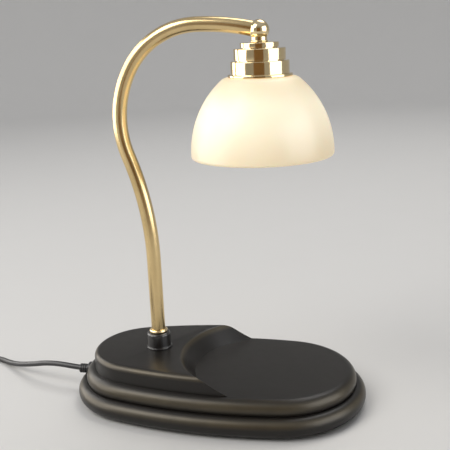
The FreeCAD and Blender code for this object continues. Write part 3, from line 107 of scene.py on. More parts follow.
class Finish(Tree):
    """A surface finish: one material, whose patterns are in millimetres on the piece."""

    def __init__(self, name):
        self.material = bpy.data.materials.new(name)
        self.material.use_nodes = True
        super().__init__(self.material.node_tree)
        self.shader = self.tree.nodes["Principled BSDF"]
        self.place = self.node("ShaderNodeTexCoord", output="Object")

    def surface(self, **inputs):
        """Sets the shader's sockets; Base_Color stands for Base Color."""
        self.join(self.shader, {key.replace("_", " "): value for key, value in inputs.items()})
        return self.material

    def grain(self, size, detail=3.0, stretch=(1, 1, 1)):
        """Noise from 0 to 1 with spots of this size, drawn out along the axes by stretch."""
        scale = [1 / (size * MM * along) for along in stretch]
        spot = self.node("ShaderNodeMapping", None, {0: self.place, "Scale": scale})
        return self.node("ShaderNodeTexNoise", None, {"Vector": spot, "Scale": 1.0,
                                                      "Detail": detail})

    def height(self, axis="Z"):
        """How far the surface lies along an axis, in millimetres."""
        return self.node("ShaderNodeSeparateXYZ", None, {0: self.place}, axis) * (1 / MM)

    def step(self, value, low, high):
        """0 below low, 1 above high and a smooth rise between them."""
        return self.node("ShaderNodeMapRange", {"interpolation_type": "SMOOTHSTEP"},
                         {0: value, 1: low, 2: high})

    def blend(self, share, first, second):
        return self.node("ShaderNodeMix", {"data_type": "RGBA"},
                         {0: share, 6: (*first, 1.0), 7: (*second, 1.0)}, 2)

    def relief(self, height, depth):
        """A bumpy normal, this many millimetres deep."""
        return self.node("ShaderNodeBump", None, {"Height": height, "Distance": depth * MM})


def cord_plastic():
    finish = Finish("cord_plastic")
    dust = finish.grain(1.6)
    return finish.surface(
        Base_Color=finish.blend(dust, (0.012, 0.012, 0.013), (0.03, 0.03, 0.032)),
        Roughness=dust * 0.18 + 0.3,
        Normal=finish.relief(finish.grain(0.5), 0.02))


def lay_cord(name, points, radius, material):
    """A cord whose line is one smooth spline through its route."""
    curve = bpy.data.curves.new(name, "CURVE")
    curve.dimensions = "3D"
    curve.bevel_depth = radius * MM
    curve.bevel_resolution = 5
    curve.resolution_u = 6
    curve.use_fill_caps = True
    spline = curve.splines.new("NURBS")
    spline.points.add(len(points) - 1)
    for point, place in zip(spline.points, points):
        point.co = (*(Vector(place) * MM), 1.0)
    spline.order_u = 3
    spline.use_endpoint_u = True
    curve.materials.append(material)
    piece = bpy.data.objects.new(name, curve)
    scene.collection.objects.link(piece)
    return piece


CORD_RADIUS = 2.0
EXIT_HEIGHT = 16.2
SWITCH_X, SWITCH_Y = -231.4, -42.1
SWITCH_AXIS = 9.5
black_cord = cord_plastic()
lamp_route = [
    (-98.0, 0.0, EXIT_HEIGHT),
    (-104.0, 0.1, 16.3),
    (-130.0, 4.8, 17.1),
    (-154.0, 14.5, 9.5),
    (-175.0, 27.5, 3.0),
    (-193.0, 39.0, CORD_RADIUS),
    (-213.9, 36.8, CORD_RADIUS),
    (-228.5, 21.7, 3.2),
    (-231.3, 0.9, 8.6),
    (SWITCH_X, -19.1, SWITCH_AXIS),
]
lamp_cord = lay_cord("lamp_flex", lamp_route, CORD_RADIUS, black_cord)

COIL_LAYERS = 4
COIL_TURNS = 2.1875
COIL_PITCH = 4.65
COIL_MIDDLE_RADIUS = 22.0
COIL_Y = -104.5
STEPS_PER_TURN = 24
coil_outer = COIL_MIDDLE_RADIUS + COIL_PITCH * COIL_TURNS / 2
coil_inner = COIL_MIDDLE_RADIUS - COIL_PITCH * COIL_TURNS / 2
coil_x = SWITCH_X + coil_outer


def coil_route():
    """The coil's turns: a layer in or out, then half a turn up to the next layer."""
    route = []
    angle = math.pi
    level = CORD_RADIUS
    steps = round(COIL_TURNS * STEPS_PER_TURN)
    climb_steps = STEPS_PER_TURN // 2

    def spot(turned, radius, height):
        route.append((coil_x + radius * math.cos(turned), COIL_Y + radius * math.sin(turned),
                      height))

    for layer in range(COIL_LAYERS):
        inward = layer % 2 == 0
        first, last = (coil_outer, coil_inner) if inward else (coil_inner, coil_outer)
        for i in range(steps + 1):
            share = i / steps
            spot(angle + COIL_TURNS * math.tau * share, first + (last - first) * share, level)
        angle += COIL_TURNS * math.tau
        if layer < COIL_LAYERS - 1:
            bulge = COIL_PITCH / 2 * (-1 if inward else 1)
            for i in range(1, climb_steps):
                share = i / climb_steps
                spot(angle + math.pi * share, last + bulge * share * (1 - share),
                     level + COIL_PITCH * share * share * (3 - 2 * share))
            angle += math.pi
            level += COIL_PITCH
    return route


PLUG_NOSE_X = -156.31
PLUG_Y = -131.59
PLUG_AXIS = 7.0
coil_end = coil_route()[-1]
plug_route = [
    (SWITCH_X, -65.1, SWITCH_AXIS),
    (SWITCH_X, -76.95, 8.8),
    (-231.1, -89.5, 2.5),
    (SWITCH_X, -100.5, CORD_RADIUS),
    *coil_route(),
    (coil_end[0] + 4.0, PLUG_Y, coil_end[2]),
    (coil_end[0] + 18.0, PLUG_Y, coil_end[2] - 0.6),
    (coil_end[0] + 33.0, PLUG_Y + 0.3, PLUG_AXIS + 0.6),
    (PLUG_NOSE_X + 1.0, PLUG_Y, PLUG_AXIS),
]
plug_cord = lay_cord("plug_flex", plug_route, CORD_RADIUS, black_cord)


def fit(piece, slot, *nodes, body="lamp"):
    """Puts a piece on its body in place of the CAD pieces that it stands for."""
    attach(piece, body)
    if nodes:
        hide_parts(*nodes)


fit(lamp_cord, "cord_black", "lamp_cord")
fit(plug_cord, "cord_black", "lead_cord", "cord_coil", "plug_cord")


# Base plate: a flat steel sheet in black powder coat that closes the hollow base. Five self
# tapping screws hold it to bosses in the shell, and two more hold the cast iron weight to it.
SHARP_ANGLE = 35


def object_from(name, mesh, material, sharp=SHARP_ANGLE):
    """Links a finished mesh as an object, shaded smooth but for its sharp edges."""
    mesh.shade_smooth()
    mesh.set_sharp_from_angle(angle=math.radians(sharp))
    if material:
        mesh.materials.clear()
        mesh.materials.append(material)
    piece = bpy.data.objects.new(name, mesh)
    scene.collection.objects.link(piece)
    return piece


def closed_piece(name, form, material, sharp=SHARP_ANGLE):
    """Turns a bmesh in millimetres into a closed piece in metres, with its faces outward."""
    bmesh.ops.remove_doubles(form, verts=form.verts, dist=1e-4)
    bmesh.ops.recalc_face_normals(form, faces=form.faces)
    bmesh.ops.transform(form, matrix=Matrix.Scale(MM, 4), verts=form.verts)
    mesh = bpy.data.meshes.new(name)
    form.to_mesh(mesh)
    form.free()
    return object_from(name, mesh, material, sharp)


def rounded(corners, steps=5):
    """A closed outline through corners (x, y, radius), each turned at its radius."""
    outline = []
    for i, (x, y, radius) in enumerate(corners):
        spot = Vector((x, y))
        if not radius:
            outline.append(spot)
            continue
        before = (Vector(corners[i - 1][:2]) - spot).normalized()
        after = (Vector(corners[(i + 1) % len(corners)][:2]) - spot).normalized()
        half = before.angle(after) / 2
        centre = spot + (before + after).normalized() * (radius / math.sin(half))
        start = spot + before * (radius / math.tan(half)) - centre
        end = spot + after * (radius / math.tan(half)) - centre
        sweep = math.atan2(start.x * end.y - start.y * end.x, start.dot(end))
        for k in range(steps + 1):
            outline.append(centre + Matrix.Rotation(sweep * k / steps, 2) @ start)
    return outline


def arc(x, y, radius, first, last, steps=8):
    """Points of an arc between two angles in degrees."""
    angles = [math.radians(first + (last - first) * k / steps) for k in range(steps + 1)]
    return [Vector((x + radius * math.cos(a), y + radius * math.sin(a))) for a in angles]


def lathe(name, outline, centre, material, sides=96, sharp=SHARP_ANGLE, turn=None):
    """A closed outline of (radius, height) turned about the upright axis at the centre."""
    form = bmesh.new()
    rings = []
    for k in range(sides):
        c, s = math.cos(math.tau * k / sides), math.sin(math.tau * k / sides)
        rings.append([form.verts.new((r * c, r * s, z)) for r, z in outline])
    for k in range(sides):
        for i in range(len(outline)):
            form.faces.new((rings[k - 1][i - 1], rings[k][i - 1], rings[k][i], rings[k - 1][i]))
    place = Matrix.Translation(centre) @ (turn or Matrix())
    bmesh.ops.transform(form, matrix=place, verts=form.verts)
    return closed_piece(name, form, material, sharp)


def carve(piece, cutter, operation="DIFFERENCE"):
    """Cuts one piece with another, which is then removed, and keeps the plain mesh."""
    modifier = piece.modifiers.new("carve", "BOOLEAN")
    modifier.operation = operation
    modifier.solver = "EXACT"
    modifier.object = cutter
    graph = bpy.context.evaluated_depsgraph_get()
    mesh = bpy.data.meshes.new_from_object(piece.evaluated_get(graph))
    mesh.shade_smooth()
    mesh.set_sharp_from_angle(angle=math.radians(SHARP_ANGLE))
    piece.modifiers.clear()
    piece.data = mesh
    bpy.data.objects.remove(cutter)
    return piece


def bar(name, size, centre, material, edge=0.3, turn=None):
    """A straight bar or block with its edges eased."""
    form = bmesh.new()
    bmesh.ops.create_cube(form, size=1.0)
    bmesh.ops.transform(form, matrix=Matrix.Diagonal((*size, 1.0)), verts=form.verts)
    bmesh.ops.bevel(form, geom=form.edges[:], offset=edge, segments=3, profile=0.5,
                    affect="EDGES")
    place = Matrix.Translation(centre) @ (turn or Matrix())
    bmesh.ops.transform(form, matrix=place, verts=form.verts)
    return closed_piece(name, form, material)


class Recipe(Tree):
    """A Geometry Nodes tree with named inputs, run once on a base mesh."""

    def __init__(self, name, inputs):
        super().__init__(bpy.data.node_groups.new(name, "GeometryNodeTree"))
        sockets = self.tree.interface
        sockets.new_socket("Geometry", in_out="INPUT", socket_type="NodeSocketGeometry")
        sockets.new_socket("Geometry", in_out="OUTPUT", socket_type="NodeSocketGeometry")
        self.values = {}
        for label, (kind, value) in inputs.items():
            socket = sockets.new_socket(label, in_out="INPUT", socket_type="NodeSocket" + kind)
            self.values[socket.identifier] = value
        group = self.tree.nodes.new("NodeGroupInput")
        self.given = {socket.name: Wire(self, socket) for socket in group.outputs if socket.name}

    def run(self, name, base, geometry):
        """Ends the tree, runs it on the base mesh and returns the result as a plain piece."""
        real = self.node("GeometryNodeRealizeInstances", None, {0: geometry})
        painted = self.node("GeometryNodeSetMaterial", None,
                            {0: real, "Material": self.given["Finish"]})
        end = self.tree.nodes.new("NodeGroupOutput")
        self.tree.links.new(painted.socket, end.inputs[0])
        holder = bpy.data.objects.new(name + "_base", base)
        scene.collection.objects.link(holder)
        modifier = holder.modifiers.new("recipe", "NODES")
        modifier.node_group = self.tree
        for identifier, value in self.values.items():
            modifier[identifier] = value
        graph = bpy.context.evaluated_depsgraph_get()
        mesh = bpy.data.meshes.new_from_object(holder.evaluated_get(graph))
        bpy.data.objects.remove(holder)
        return object_from(name, mesh, None)


def copies(name, original, spots, material):
    """Like pieces of one original, one at each spot (x, y, z), as one piece."""
    recipe = Recipe(name + "_recipe", {"Original": ("Object", original),
                                       "Finish": ("Material", material)})
    base = bpy.data.meshes.new(name + "_spots")
    base.from_pydata([Vector(spot) * MM for spot in spots], [], [])
    shape = recipe.node("GeometryNodeObjectInfo", None, {0: recipe.given["Original"]}, "Geometry")
    placed = recipe.node("GeometryNodeInstanceOnPoints", None,
                         {"Points": recipe.given["Geometry"], "Instance": shape})
    piece = recipe.run(name, base, placed)
    bpy.data.objects.remove(original)
    return piece


def paint(material, *names):
    """Gives CAD pieces their finish."""
    for name in names:
        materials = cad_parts[name].data.materials
        materials.clear()
        materials.append(material)


def powder_coat():
    finish = Finish("powder_coat")
    speckle = finish.grain(0.7)
    return finish.surface(
        Base_Color=finish.blend(speckle, (0.022, 0.022, 0.023), (0.045, 0.045, 0.047)),
        Roughness=speckle * 0.2 + 0.45,
        Normal=finish.relief(speckle, 0.06))


def zinc():
    finish = Finish("zinc_plating")
    cloud = finish.grain(3.0)
    return finish.surface(
        Base_Color=finish.blend(cloud, (0.5, 0.5, 0.49), (0.68, 0.68, 0.66)),
        Metallic=1.0,
        Roughness=cloud * 0.2 + 0.25,
        Normal=finish.relief(finish.grain(0.4), 0.01))


def cast_iron():
    finish = Finish("cast_iron")
    sand = finish.grain(0.9, 5.0)
    return finish.surface(
        Base_Color=finish.blend(sand, (0.1, 0.095, 0.09), (0.2, 0.19, 0.18)),
        Metallic=0.7,
        Roughness=sand * 0.2 + 0.6,
        Normal=finish.relief(sand, 0.25))


def cross_head_screw(name, head_radius, head_height, material):
    """A pan head with a cross recess, its face at Z = 0 and its shank side above it."""
    crown = head_radius * 0.35
    head = lathe(name, rounded([(0, head_height, 0), (head_radius, head_height, 0.2),
                                (head_radius * 0.92, 0, crown), (0, 0, 0)]),
                 (0, 0, 0), material, sides=32)
    for angle in (0, math.pi / 2):
        slot = bar(name + "_slot", (head_radius * 1.15, head_radius * 0.24, head_height),
                   (0, 0, 0), material, 0.05, Matrix.Rotation(angle, 4, "Z"))
        carve(head, slot)
    return head


PLATE_SCREW_HEAD = 2.9
PLATE_SCREW_HEIGHT = 1.6
plate_low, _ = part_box("base_plate")
zinc_plating = zinc()
paint(powder_coat(), "base_plate")
paint(cast_iron(), "counterweight")
paint(zinc_plating, "arm_nipple", "arm_washer", "arm_nut")
screw_level = plate_low.z / MM - PLATE_SCREW_HEIGHT


def mirrored(*spots):
    """Each spot and its twin across the lamp's middle plane."""
    return [(x, side * y) for x, y in spots for side in ((1, -1) if y else (1,))]


shell_screws = mirrored((79.5, 0.0), (-10.87, 37.48), (-65.6, 24.08))
weight_screws = mirrored((36.0, 18.0))


def heads_under_plate(name, spots):
    """The heads of like screws, which bear on the plate from below."""
    head = cross_head_screw(name + "_head", PLATE_SCREW_HEAD, PLATE_SCREW_HEIGHT, zinc_plating)
    return copies(name, head, [(x, y, screw_level) for x, y in spots], zinc_plating)


base_screws = heads_under_plate("plate_screws", shell_screws)
held_weight = heads_under_plate("weight_screw_heads", weight_screws)
fit(base_screws, "zinc_steel", "base_screws")
fit(held_weight, "zinc_steel", "counterweight_screws")


# Rubber feet: four turned pads of black rubber, stuck to the plate near the ends. Each has an
# eased rim and a shallow ring in its sole, which keeps it from sliding.
FOOT_RADIUS = 7.0


def foot_rubber():
    finish = Finish("foot_rubber")
    skin = finish.grain(0.35)
    return finish.surface(
        Base_Color=finish.blend(finish.grain(2.5), (0.016, 0.016, 0.016), (0.035, 0.034, 0.033)),
        Roughness=skin * 0.15 + 0.7,
        Normal=finish.relief(skin, 0.03))


rubber = foot_rubber()
foot_top = plate_low.z / MM
foot = lathe("foot", rounded([(0, 0.35, 0), (2.6, 0.35, 0.1), (3.0, 0, 0.15), (4.6, 0, 0.15),
                              (5.0, 0.35, 0.1), (5.2, 0, 0.15), (FOOT_RADIUS * 0.9, 0, 0.5),
                              (FOOT_RADIUS, foot_top, 0), (0, foot_top, 0)]),
             (0, 0, 0), rubber, sides=48)
foot_spots = mirrored((68.76, 30.11), (-79.89, 13.14))
feet = copies("rubber_pads", foot, [(x, y, 0.0) for x, y in foot_spots], rubber)
fit(feet, "foot_rubber", "rubber_feet")


# Base shell: a moulded shell of two bullnosed steps and a raised platform for the arm, all on
# one egg-shaped outline. The platform ends in a hollow wall round the tray, where the candle
# stands. It has a satin bronze-black lacquer, with a warm painted highlight on its round edges.
WIDE_X, WIDE_RADIUS = 43.5, 46.0
NARROW_X, NARROW_RADIUS = -51.7, 37.8
SIDE_X, SIDE_Y, SIDE_RADIUS = 16.925, 238.524, 286.0
LOWER_TIER_LEVEL, UPPER_TIER_LEVEL = 7.8, 17.8
LOWER_TIER_OFFSET, TIER_ROUND, TIER_FLAT = 6.4, 6.8, 0.1
TRAY_X = 36.0
TRAY_LEVEL, PLATFORM_LEVEL = 24.7, 36.7
TRAY_WALL_RADIUS, TRAY_WALL_FLARE = 51.4, 9.8
wide_turn = math.atan2(SIDE_Y, WIDE_X - SIDE_X)
narrow_turn = math.atan2(SIDE_Y, NARROW_X - SIDE_X)


def rim(offset, angle):
    """The point of the outline, grown by offset, whose outward normal has this angle."""
    facing = abs(angle)
    if facing < wide_turn:
        x, y, radius = WIDE_X, 0.0, WIDE_RADIUS
    elif facing < narrow_turn:
        x, y, radius = SIDE_X, -SIDE_Y, SIDE_RADIUS
    else:
        x, y, radius = NARROW_X, 0.0, NARROW_RADIUS
    side = 1 if angle >= 0 else -1
    reach = radius + offset
    return x + reach * math.cos(facing), side * (y + reach * math.sin(facing))


def spaced(first, last, count):
    return [first + (last - first) * k / count for k in range(count)]


def skin(name, rings, material, sharp=SHARP_ANGLE):
    """A closed piece through rings of as many points each, its end rings filled."""
    form = bmesh.new()
    loops = [[form.verts.new(point) for point in ring] for ring in rings]
    for low, high in zip(loops, loops[1:]):
        for k in range(len(low)):
            form.faces.new((low[k - 1], low[k], high[k], high[k - 1]))
    form.faces.new(loops[0])
    form.faces.new(loops[-1])
    return closed_piece(name, form, material, sharp)


def lacquer():
    finish = Finish("base_lacquer")
    level = finish.height()
    cloud = finish.grain(22.0, 2.0)
    # Painted highlight: the round tops of both steps and the platform's edge are picked out by
    # height, then made lighter, warmer and slightly metallic in blotches.
    lower_round_highlight = finish.step(level, 8.0, 12.0) * (1 - finish.step(level, 12.5, 14.4))
    middle_round_highlight = finish.step(level, 15.0, 20.5) * (1 - finish.step(level, 21.5, 24.5))
    platform_edge_highlight = finish.step(level, 32.5, 35.4) * (1 - finish.step(level, 35.8, 36.6))
    painted_highlight = (lower_round_highlight + middle_round_highlight + platform_edge_highlight) * (cloud * 0.7 + 0.35)
    return finish.surface(
        Base_Color=finish.blend(painted_highlight, (0.014, 0.012, 0.010), (0.10, 0.082, 0.052)),
        Metallic=painted_highlight * 0.3,
        Roughness=finish.grain(6.0) * 0.08 + 0.3,
        Specular_IOR_Level=0.35,
        Normal=finish.relief(finish.grain(0.9, 2.0), 0.012))


half_round = [*spaced(0.0, wide_turn, 30), *spaced(wide_turn, narrow_turn, 26),
              *spaced(narrow_turn, math.pi, 26), math.pi]
around = half_round + [-angle for angle in half_round[-2:0:-1]]
step_profile = [
    (5.8, 4.5), (5.8, 1.0),
    *arc(LOWER_TIER_OFFSET, LOWER_TIER_LEVEL, TIER_ROUND, -90, 0, 10),
    *arc(LOWER_TIER_OFFSET, LOWER_TIER_LEVEL + TIER_FLAT, TIER_ROUND, 0, 90, 10),
    *arc(0.0, UPPER_TIER_LEVEL, TIER_ROUND, -29, 0, 4),
    *arc(0.0, UPPER_TIER_LEVEL + TIER_FLAT, TIER_ROUND, 0, 90, 10),
]
bronze = lacquer()
steps_form = skin("base_steps", [[(*rim(offset, angle), level) for angle in around]
                                 for offset, level in step_profile], bronze, sharp=40)


def wall_meets_rim(offset, radius):
    """The normal's angle where the outline crosses the tray's round wall."""
    low, high = wide_turn, math.pi
    for _ in range(40):
        middle = (low + high) / 2
        x, y = rim(offset, middle)
        if math.hypot(x - TRAY_X, y) < radius:
            low = middle
        else:
            high = middle
    return high


def platform_ring(inset, radius, level):
    """The platform's outline: round the narrow end, then back along the tray's wall."""
    start = wall_meets_rim(-inset, radius)
    half = [*spaced(start, narrow_turn, 18), *spaced(narrow_turn, math.pi, 26), math.pi]
    outer = [rim(-inset, angle) for angle in half + [-angle for angle in half[-2::-1]]]
    x, y = outer[-1]
    edge = math.atan2(-y, x - TRAY_X)
    inner = [(TRAY_X + radius * math.cos(angle), radius * math.sin(angle))
             for angle in spaced(-edge, edge - math.tau, 40)[1:]]
    return [(x, y, level) for x, y in outer + inner]


def wall_radius(level):
    """The radius of the tray's round wall, which flares as it rises."""
    return TRAY_WALL_RADIUS + (TRAY_WALL_FLARE * (level - TRAY_LEVEL)
                               / (PLATFORM_LEVEL - TRAY_LEVEL))


PLATFORM_ROUND = 3.9
WALL_EDGE = 1.2
platform_rings = [platform_ring(0, TRAY_WALL_RADIUS - 0.4, TRAY_LEVEL - 0.5)]
for share in (0, 0.33, 0.67):
    level = TRAY_LEVEL + share * (PLATFORM_LEVEL - PLATFORM_ROUND - TRAY_LEVEL)
    platform_rings.append(platform_ring(0, wall_radius(level), level))
for turned in range(0, 91, 10):
    level = PLATFORM_LEVEL - PLATFORM_ROUND * (1 - math.sin(math.radians(turned)))
    inset = PLATFORM_ROUND * (1 - math.cos(math.radians(turned)))
    eased = max(0, level - PLATFORM_LEVEL + WALL_EDGE) / WALL_EDGE
    eased = WALL_EDGE * (1 - math.sqrt(max(0, 1 - eased * eased)))
    platform_rings.append(platform_ring(inset, wall_radius(level) + eased, level))
platform = skin("platform", platform_rings, bronze, sharp=40)


def joined(name, pieces):
    """Several pieces of one body as one piece."""
    form = bmesh.new()
    for piece in pieces:
        form.from_mesh(piece.data)
    mesh = bpy.data.meshes.new(name)
    form.to_mesh(mesh)
    form.free()
    result = object_from(name, mesh, pieces[0].data.materials[0], 40)
    for piece in pieces:
        bpy.data.objects.remove(piece)
    return result


BUSHING_FACE_X = -95.7
BUSHING_NOSE = 9.0
SEAT_RADIUS = 5.3
ALONG_X = Matrix.Rotation(math.pi / 2, 4, "Y")
bushing_seat = lathe("bushing_seat", [
    (0, -BUSHING_NOSE), (SEAT_RADIUS, -BUSHING_NOSE), (SEAT_RADIUS, 0), (0, 0)],
    (BUSHING_FACE_X, 0, EXIT_HEIGHT), bronze, sides=48, turn=ALONG_X)
base = carve(carve(steps_form, platform, "UNION"), bushing_seat)
base.name = "base_casing"
fit(base, "base_lacquer", "base_shell")


# Arm: one thin-walled brass tube, bent cold into a long lean, a shoulder and a wide crown over
# the tray. It is polished and then brushed to a soft satin, lacquered, and has no joints.
ARM_X = -42.6
TUBE_RADIUS = 4.85
TUBE_FOOT, TUBE_STRAIGHT = 0.5, 30.0
LEAN_RADIUS, LEAN_ANGLE = 209.0, math.radians(20.2)
SHOULDER_RADIUS, SHOULDER_ANGLE = 68.0, math.radians(31.5)
CROWN_RADIUS = 53.4
DROOP_ANGLE = math.radians(12.7)
BALL_LEVEL = 253.0
BALL_END = 5.0
TUBE_END = 2.6


def arm_line():
    """Points of the arm's middle line, from the platform to the ball."""
    lean_x = ARM_X - LEAN_RADIUS * (1 - math.cos(LEAN_ANGLE))
    shoulder_x = lean_x + SHOULDER_RADIUS * (math.cos(LEAN_ANGLE) - math.cos(SHOULDER_ANGLE))
    crest_x = shoulder_x + CROWN_RADIUS * math.cos(SHOULDER_ANGLE)
    crest_radius = (TRAY_X - crest_x - BALL_END * math.cos(DROOP_ANGLE)) / math.sin(DROOP_ANGLE)
    crest = (BALL_LEVEL + crest_radius * (1 - math.cos(DROOP_ANGLE))
             + BALL_END * math.sin(DROOP_ANGLE))
    riser = (crest - CROWN_RADIUS * (1 - math.sin(SHOULDER_ANGLE))
             - SHOULDER_RADIUS * (math.sin(LEAN_ANGLE) + math.sin(SHOULDER_ANGLE))
             - LEAN_RADIUS * math.sin(LEAN_ANGLE))
    lean = math.degrees(LEAN_ANGLE)
    shoulder = math.degrees(SHOULDER_ANGLE)
    centre_x = lean_x + SHOULDER_RADIUS * math.cos(LEAN_ANGLE)
    centre_z = riser + LEAN_RADIUS * math.sin(LEAN_ANGLE) + SHOULDER_RADIUS * math.sin(LEAN_ANGLE)
    line = [(ARM_X, PLATFORM_LEVEL + rise) for rise in (TUBE_FOOT, TUBE_STRAIGHT)]
    line += arc(ARM_X - LEAN_RADIUS, riser, LEAN_RADIUS, 0, lean, 24)
    line += arc(centre_x, centre_z, SHOULDER_RADIUS, 180 + lean, 180 - shoulder, 24)[1:]
    line += arc(crest_x, crest - CROWN_RADIUS, CROWN_RADIUS, 180 - shoulder, 90, 28)[1:]
    droop = math.degrees(DROOP_ANGLE)
    line += arc(crest_x, crest - crest_radius, crest_radius, 90, 90 - droop, 12)[1:]
    tip = (TRAY_X - TUBE_END * math.cos(DROOP_ANGLE),
           BALL_LEVEL + TUBE_END * math.sin(DROOP_ANGLE))
    return [(x, 0.0, z) for x, z in [*line, tip]]


def satin_brass():
    finish = Finish("satin_brass")
    brushed = finish.grain(1.1, 4.0, (0.25, 0.25, 6.0))
    tarnish = finish.step(finish.grain(38.0), 0.35, 0.75)
    return finish.surface(
        Base_Color=finish.blend(tarnish, (0.74, 0.56, 0.29), (0.58, 0.43, 0.21)),
        Metallic=1.0,
        Roughness=brushed * 0.1 + 0.18,
        Normal=finish.relief(brushed, 0.006))


def sweep(name, line, radius, sides, material):
    """A round tube drawn along a line of points."""
    recipe = Recipe(name + "_recipe", {"Radius": ("Float", radius * MM),
                                       "Sides": ("Int", sides),
                                       "Finish": ("Material", material)})
    base = bpy.data.meshes.new(name + "_line")
    base.from_pydata([Vector(point) * MM for point in line],
                     [(k, k + 1) for k in range(len(line) - 1)], [])
    path = recipe.node("GeometryNodeMeshToCurve", None, {0: recipe.given["Geometry"]})
    section = recipe.node("GeometryNodeCurvePrimitiveCircle", None,
                          {"Resolution": recipe.given["Sides"], 4: recipe.given["Radius"]})
    tube = recipe.node("GeometryNodeCurveToMesh", None,
                       {"Curve": path, "Profile Curve": section, "Fill Caps": True})
    return recipe.run(name, base, tube)


arm_brass = satin_brass()
arm = sweep("bent_arm", arm_line(), TUBE_RADIUS, 40, arm_brass)
fit(arm, "arm_brass", "arm_tube")


# Arm foot: a turned collar in black lacquer with a thin flange, and a small polished brass
# ferrule on it. They are slid down the tube and held by the nut inside the base.
def black_lacquer():
    finish = Finish("black_lacquer")
    return finish.surface(
        Base_Color=finish.blend(finish.grain(3.0), (0.012, 0.011, 0.011), (0.022, 0.02, 0.019)),
        Roughness=finish.grain(1.5) * 0.1 + 0.25,
        Coat_Weight=0.5, Coat_Roughness=0.12,
        Normal=finish.relief(finish.grain(0.8), 0.008))


def polished_brass():
    finish = Finish("polished_brass")
    level = finish.height() * 3.2
    turned = finish.node("ShaderNodeTexNoise", {"noise_dimensions": "1D"},
                         {"W": level, "Scale": 2.4, "Detail": 3.0})
    film = finish.grain(16.0)
    return finish.surface(
        Base_Color=finish.blend(film, (0.85, 0.69, 0.42), (0.76, 0.60, 0.34)),
        Metallic=1.0,
        Roughness=film * 0.06 + 0.07,
        Normal=finish.relief(turned, 0.004))


bright_brass = polished_brass()
COLLAR_HEIGHT = 11.4
FERRULE_ROUND = 1.15
foot_bore = TUBE_RADIUS + 0.05
collar = lathe("foot_collar", rounded([
    (foot_bore, 0, 0), (9.0, 0, 0.2), (9.0, 1.2, 0.35), (8.3, 1.2, 0.25), (8.2, 2.2, 0.3),
    (8.2, COLLAR_HEIGHT, 1.6), (foot_bore, COLLAR_HEIGHT, 0.15)]),
    (ARM_X, 0, PLATFORM_LEVEL), black_lacquer())
ferrule = lathe("foot_ferrule", [
    *arc(5.25, FERRULE_ROUND, FERRULE_ROUND, -90, 90), (foot_bore, 2 * FERRULE_ROUND),
    (foot_bore, 0)], (ARM_X, 0, PLATFORM_LEVEL + COLLAR_HEIGHT), bright_brass)
fit(collar, "collar_black", "arm_collar")
fit(ferrule, "cap_brass", "arm_ferrule")


# Ball knuckle: a turned and polished brass ball with a short neck and a bead at its foot. The
# arm is soldered into its side, and a threaded nipple holds the shade's cap below it.
BALL_RADIUS = 6.5
SEAT_LEVEL = 245.5
NECK_RADIUS, NECK_HEIGHT = 5.0, 1.5
FOOT_BEAD = 0.65
ball_seat = SEAT_LEVEL - BALL_LEVEL
neck_angle = math.degrees(math.acos(NECK_RADIUS / BALL_RADIUS))
ball_outline = [(0, BALL_RADIUS), *arc(0, 0, BALL_RADIUS, 84, -neck_angle, 26),
                (NECK_RADIUS, ball_seat + NECK_HEIGHT),
                *arc(NECK_RADIUS, ball_seat + FOOT_BEAD, FOOT_BEAD, 90, -90), (0, ball_seat)]
ball = lathe("ball_end", ball_outline, (TRAY_X, 0, BALL_LEVEL), bright_brass, sides=72)
fit(ball, "cap_brass", "ball_knuckle")


# Shade fitter: a cap and a skirt, both spun from brass sheet in stepped drums and polished.
# The drums meet in fine dark lines, and the lowest flange sits on the glass.
CAP_DRUM = 0.45
CAP_BOTTOM = -11.3
FLANGE_BOTTOM = -9.8
NIPPLE_BORE = 3.55
SHEET = 1.2
cap = lathe("spun_cap", rounded([
    (NIPPLE_BORE, 0, 0), (12.3, 0, CAP_DRUM), (12.3, -3.0, 0.2), (11.3, -3.0, 0), (11.3, -3.6, 0),
    (16.5, -3.6, CAP_DRUM), (16.5, -10.7, 0.2), (15.5, -10.7, 0), (15.5, CAP_BOTTOM, 0),
    (14.5, CAP_BOTTOM, 0), (14.5, -4.8, 0), (10.3, -4.8, 0), (10.3, -SHEET, 0),
    (NIPPLE_BORE, -SHEET, 0)]), (TRAY_X, 0, SEAT_LEVEL), bright_brass, sides=128)
SKIRT_LEVEL = SEAT_LEVEL + CAP_BOTTOM
skirt = lathe("spun_skirt", rounded([
    (NIPPLE_BORE, 0, 0), (18.7, 0, CAP_DRUM), (18.7, -7.9, 0.15), (20.7, -8.1, 0.6),
    (20.7, FLANGE_BOTTOM, 0.4), (16.6, FLANGE_BOTTOM, 0), (16.6, -17.4, 0.2),
    (15.4, -17.4, 0.2), (15.4, -8.6, 0), (17.5, -8.6, 0), (17.5, -SHEET, 0),
    (NIPPLE_BORE, -SHEET, 0)]), (TRAY_X, 0, SKIRT_LEVEL), bright_brass, sides=128)
fit(cap, "cap_brass", "fitter_cap")
fit(skirt, "cap_brass", "fitter_skirt")


# Shade: a blown bell of frosted opal glass with a fire-polished lip. Its open neck hangs from
# the skirt's flange between a fibre gasket and a zinc-plated screw ring.
SHADE_RADIUS = 46.2
SHADE_HEIGHT = 50.4
GLASS_LEVEL = SKIRT_LEVEL + FLANGE_BOTTOM
GLASS_WALL = 3.0
NECK_HOLE = 16.9
SIDE_CURVE, SHOULDER_CURVE = 62.0, 8.0
STRAIGHT_LIP = 2.2
bell_x = SHADE_RADIUS - SIDE_CURVE
bell_z = STRAIGHT_LIP - SHADE_HEIGHT
shoulder_reach = SIDE_CURVE - SHOULDER_CURVE
shoulder_x = bell_x + math.sqrt(shoulder_reach ** 2 - (SHOULDER_CURVE + bell_z) ** 2)
bell_turn = math.degrees(math.atan2(-SHOULDER_CURVE - bell_z, shoulder_x - bell_x))
lip = GLASS_WALL / 2


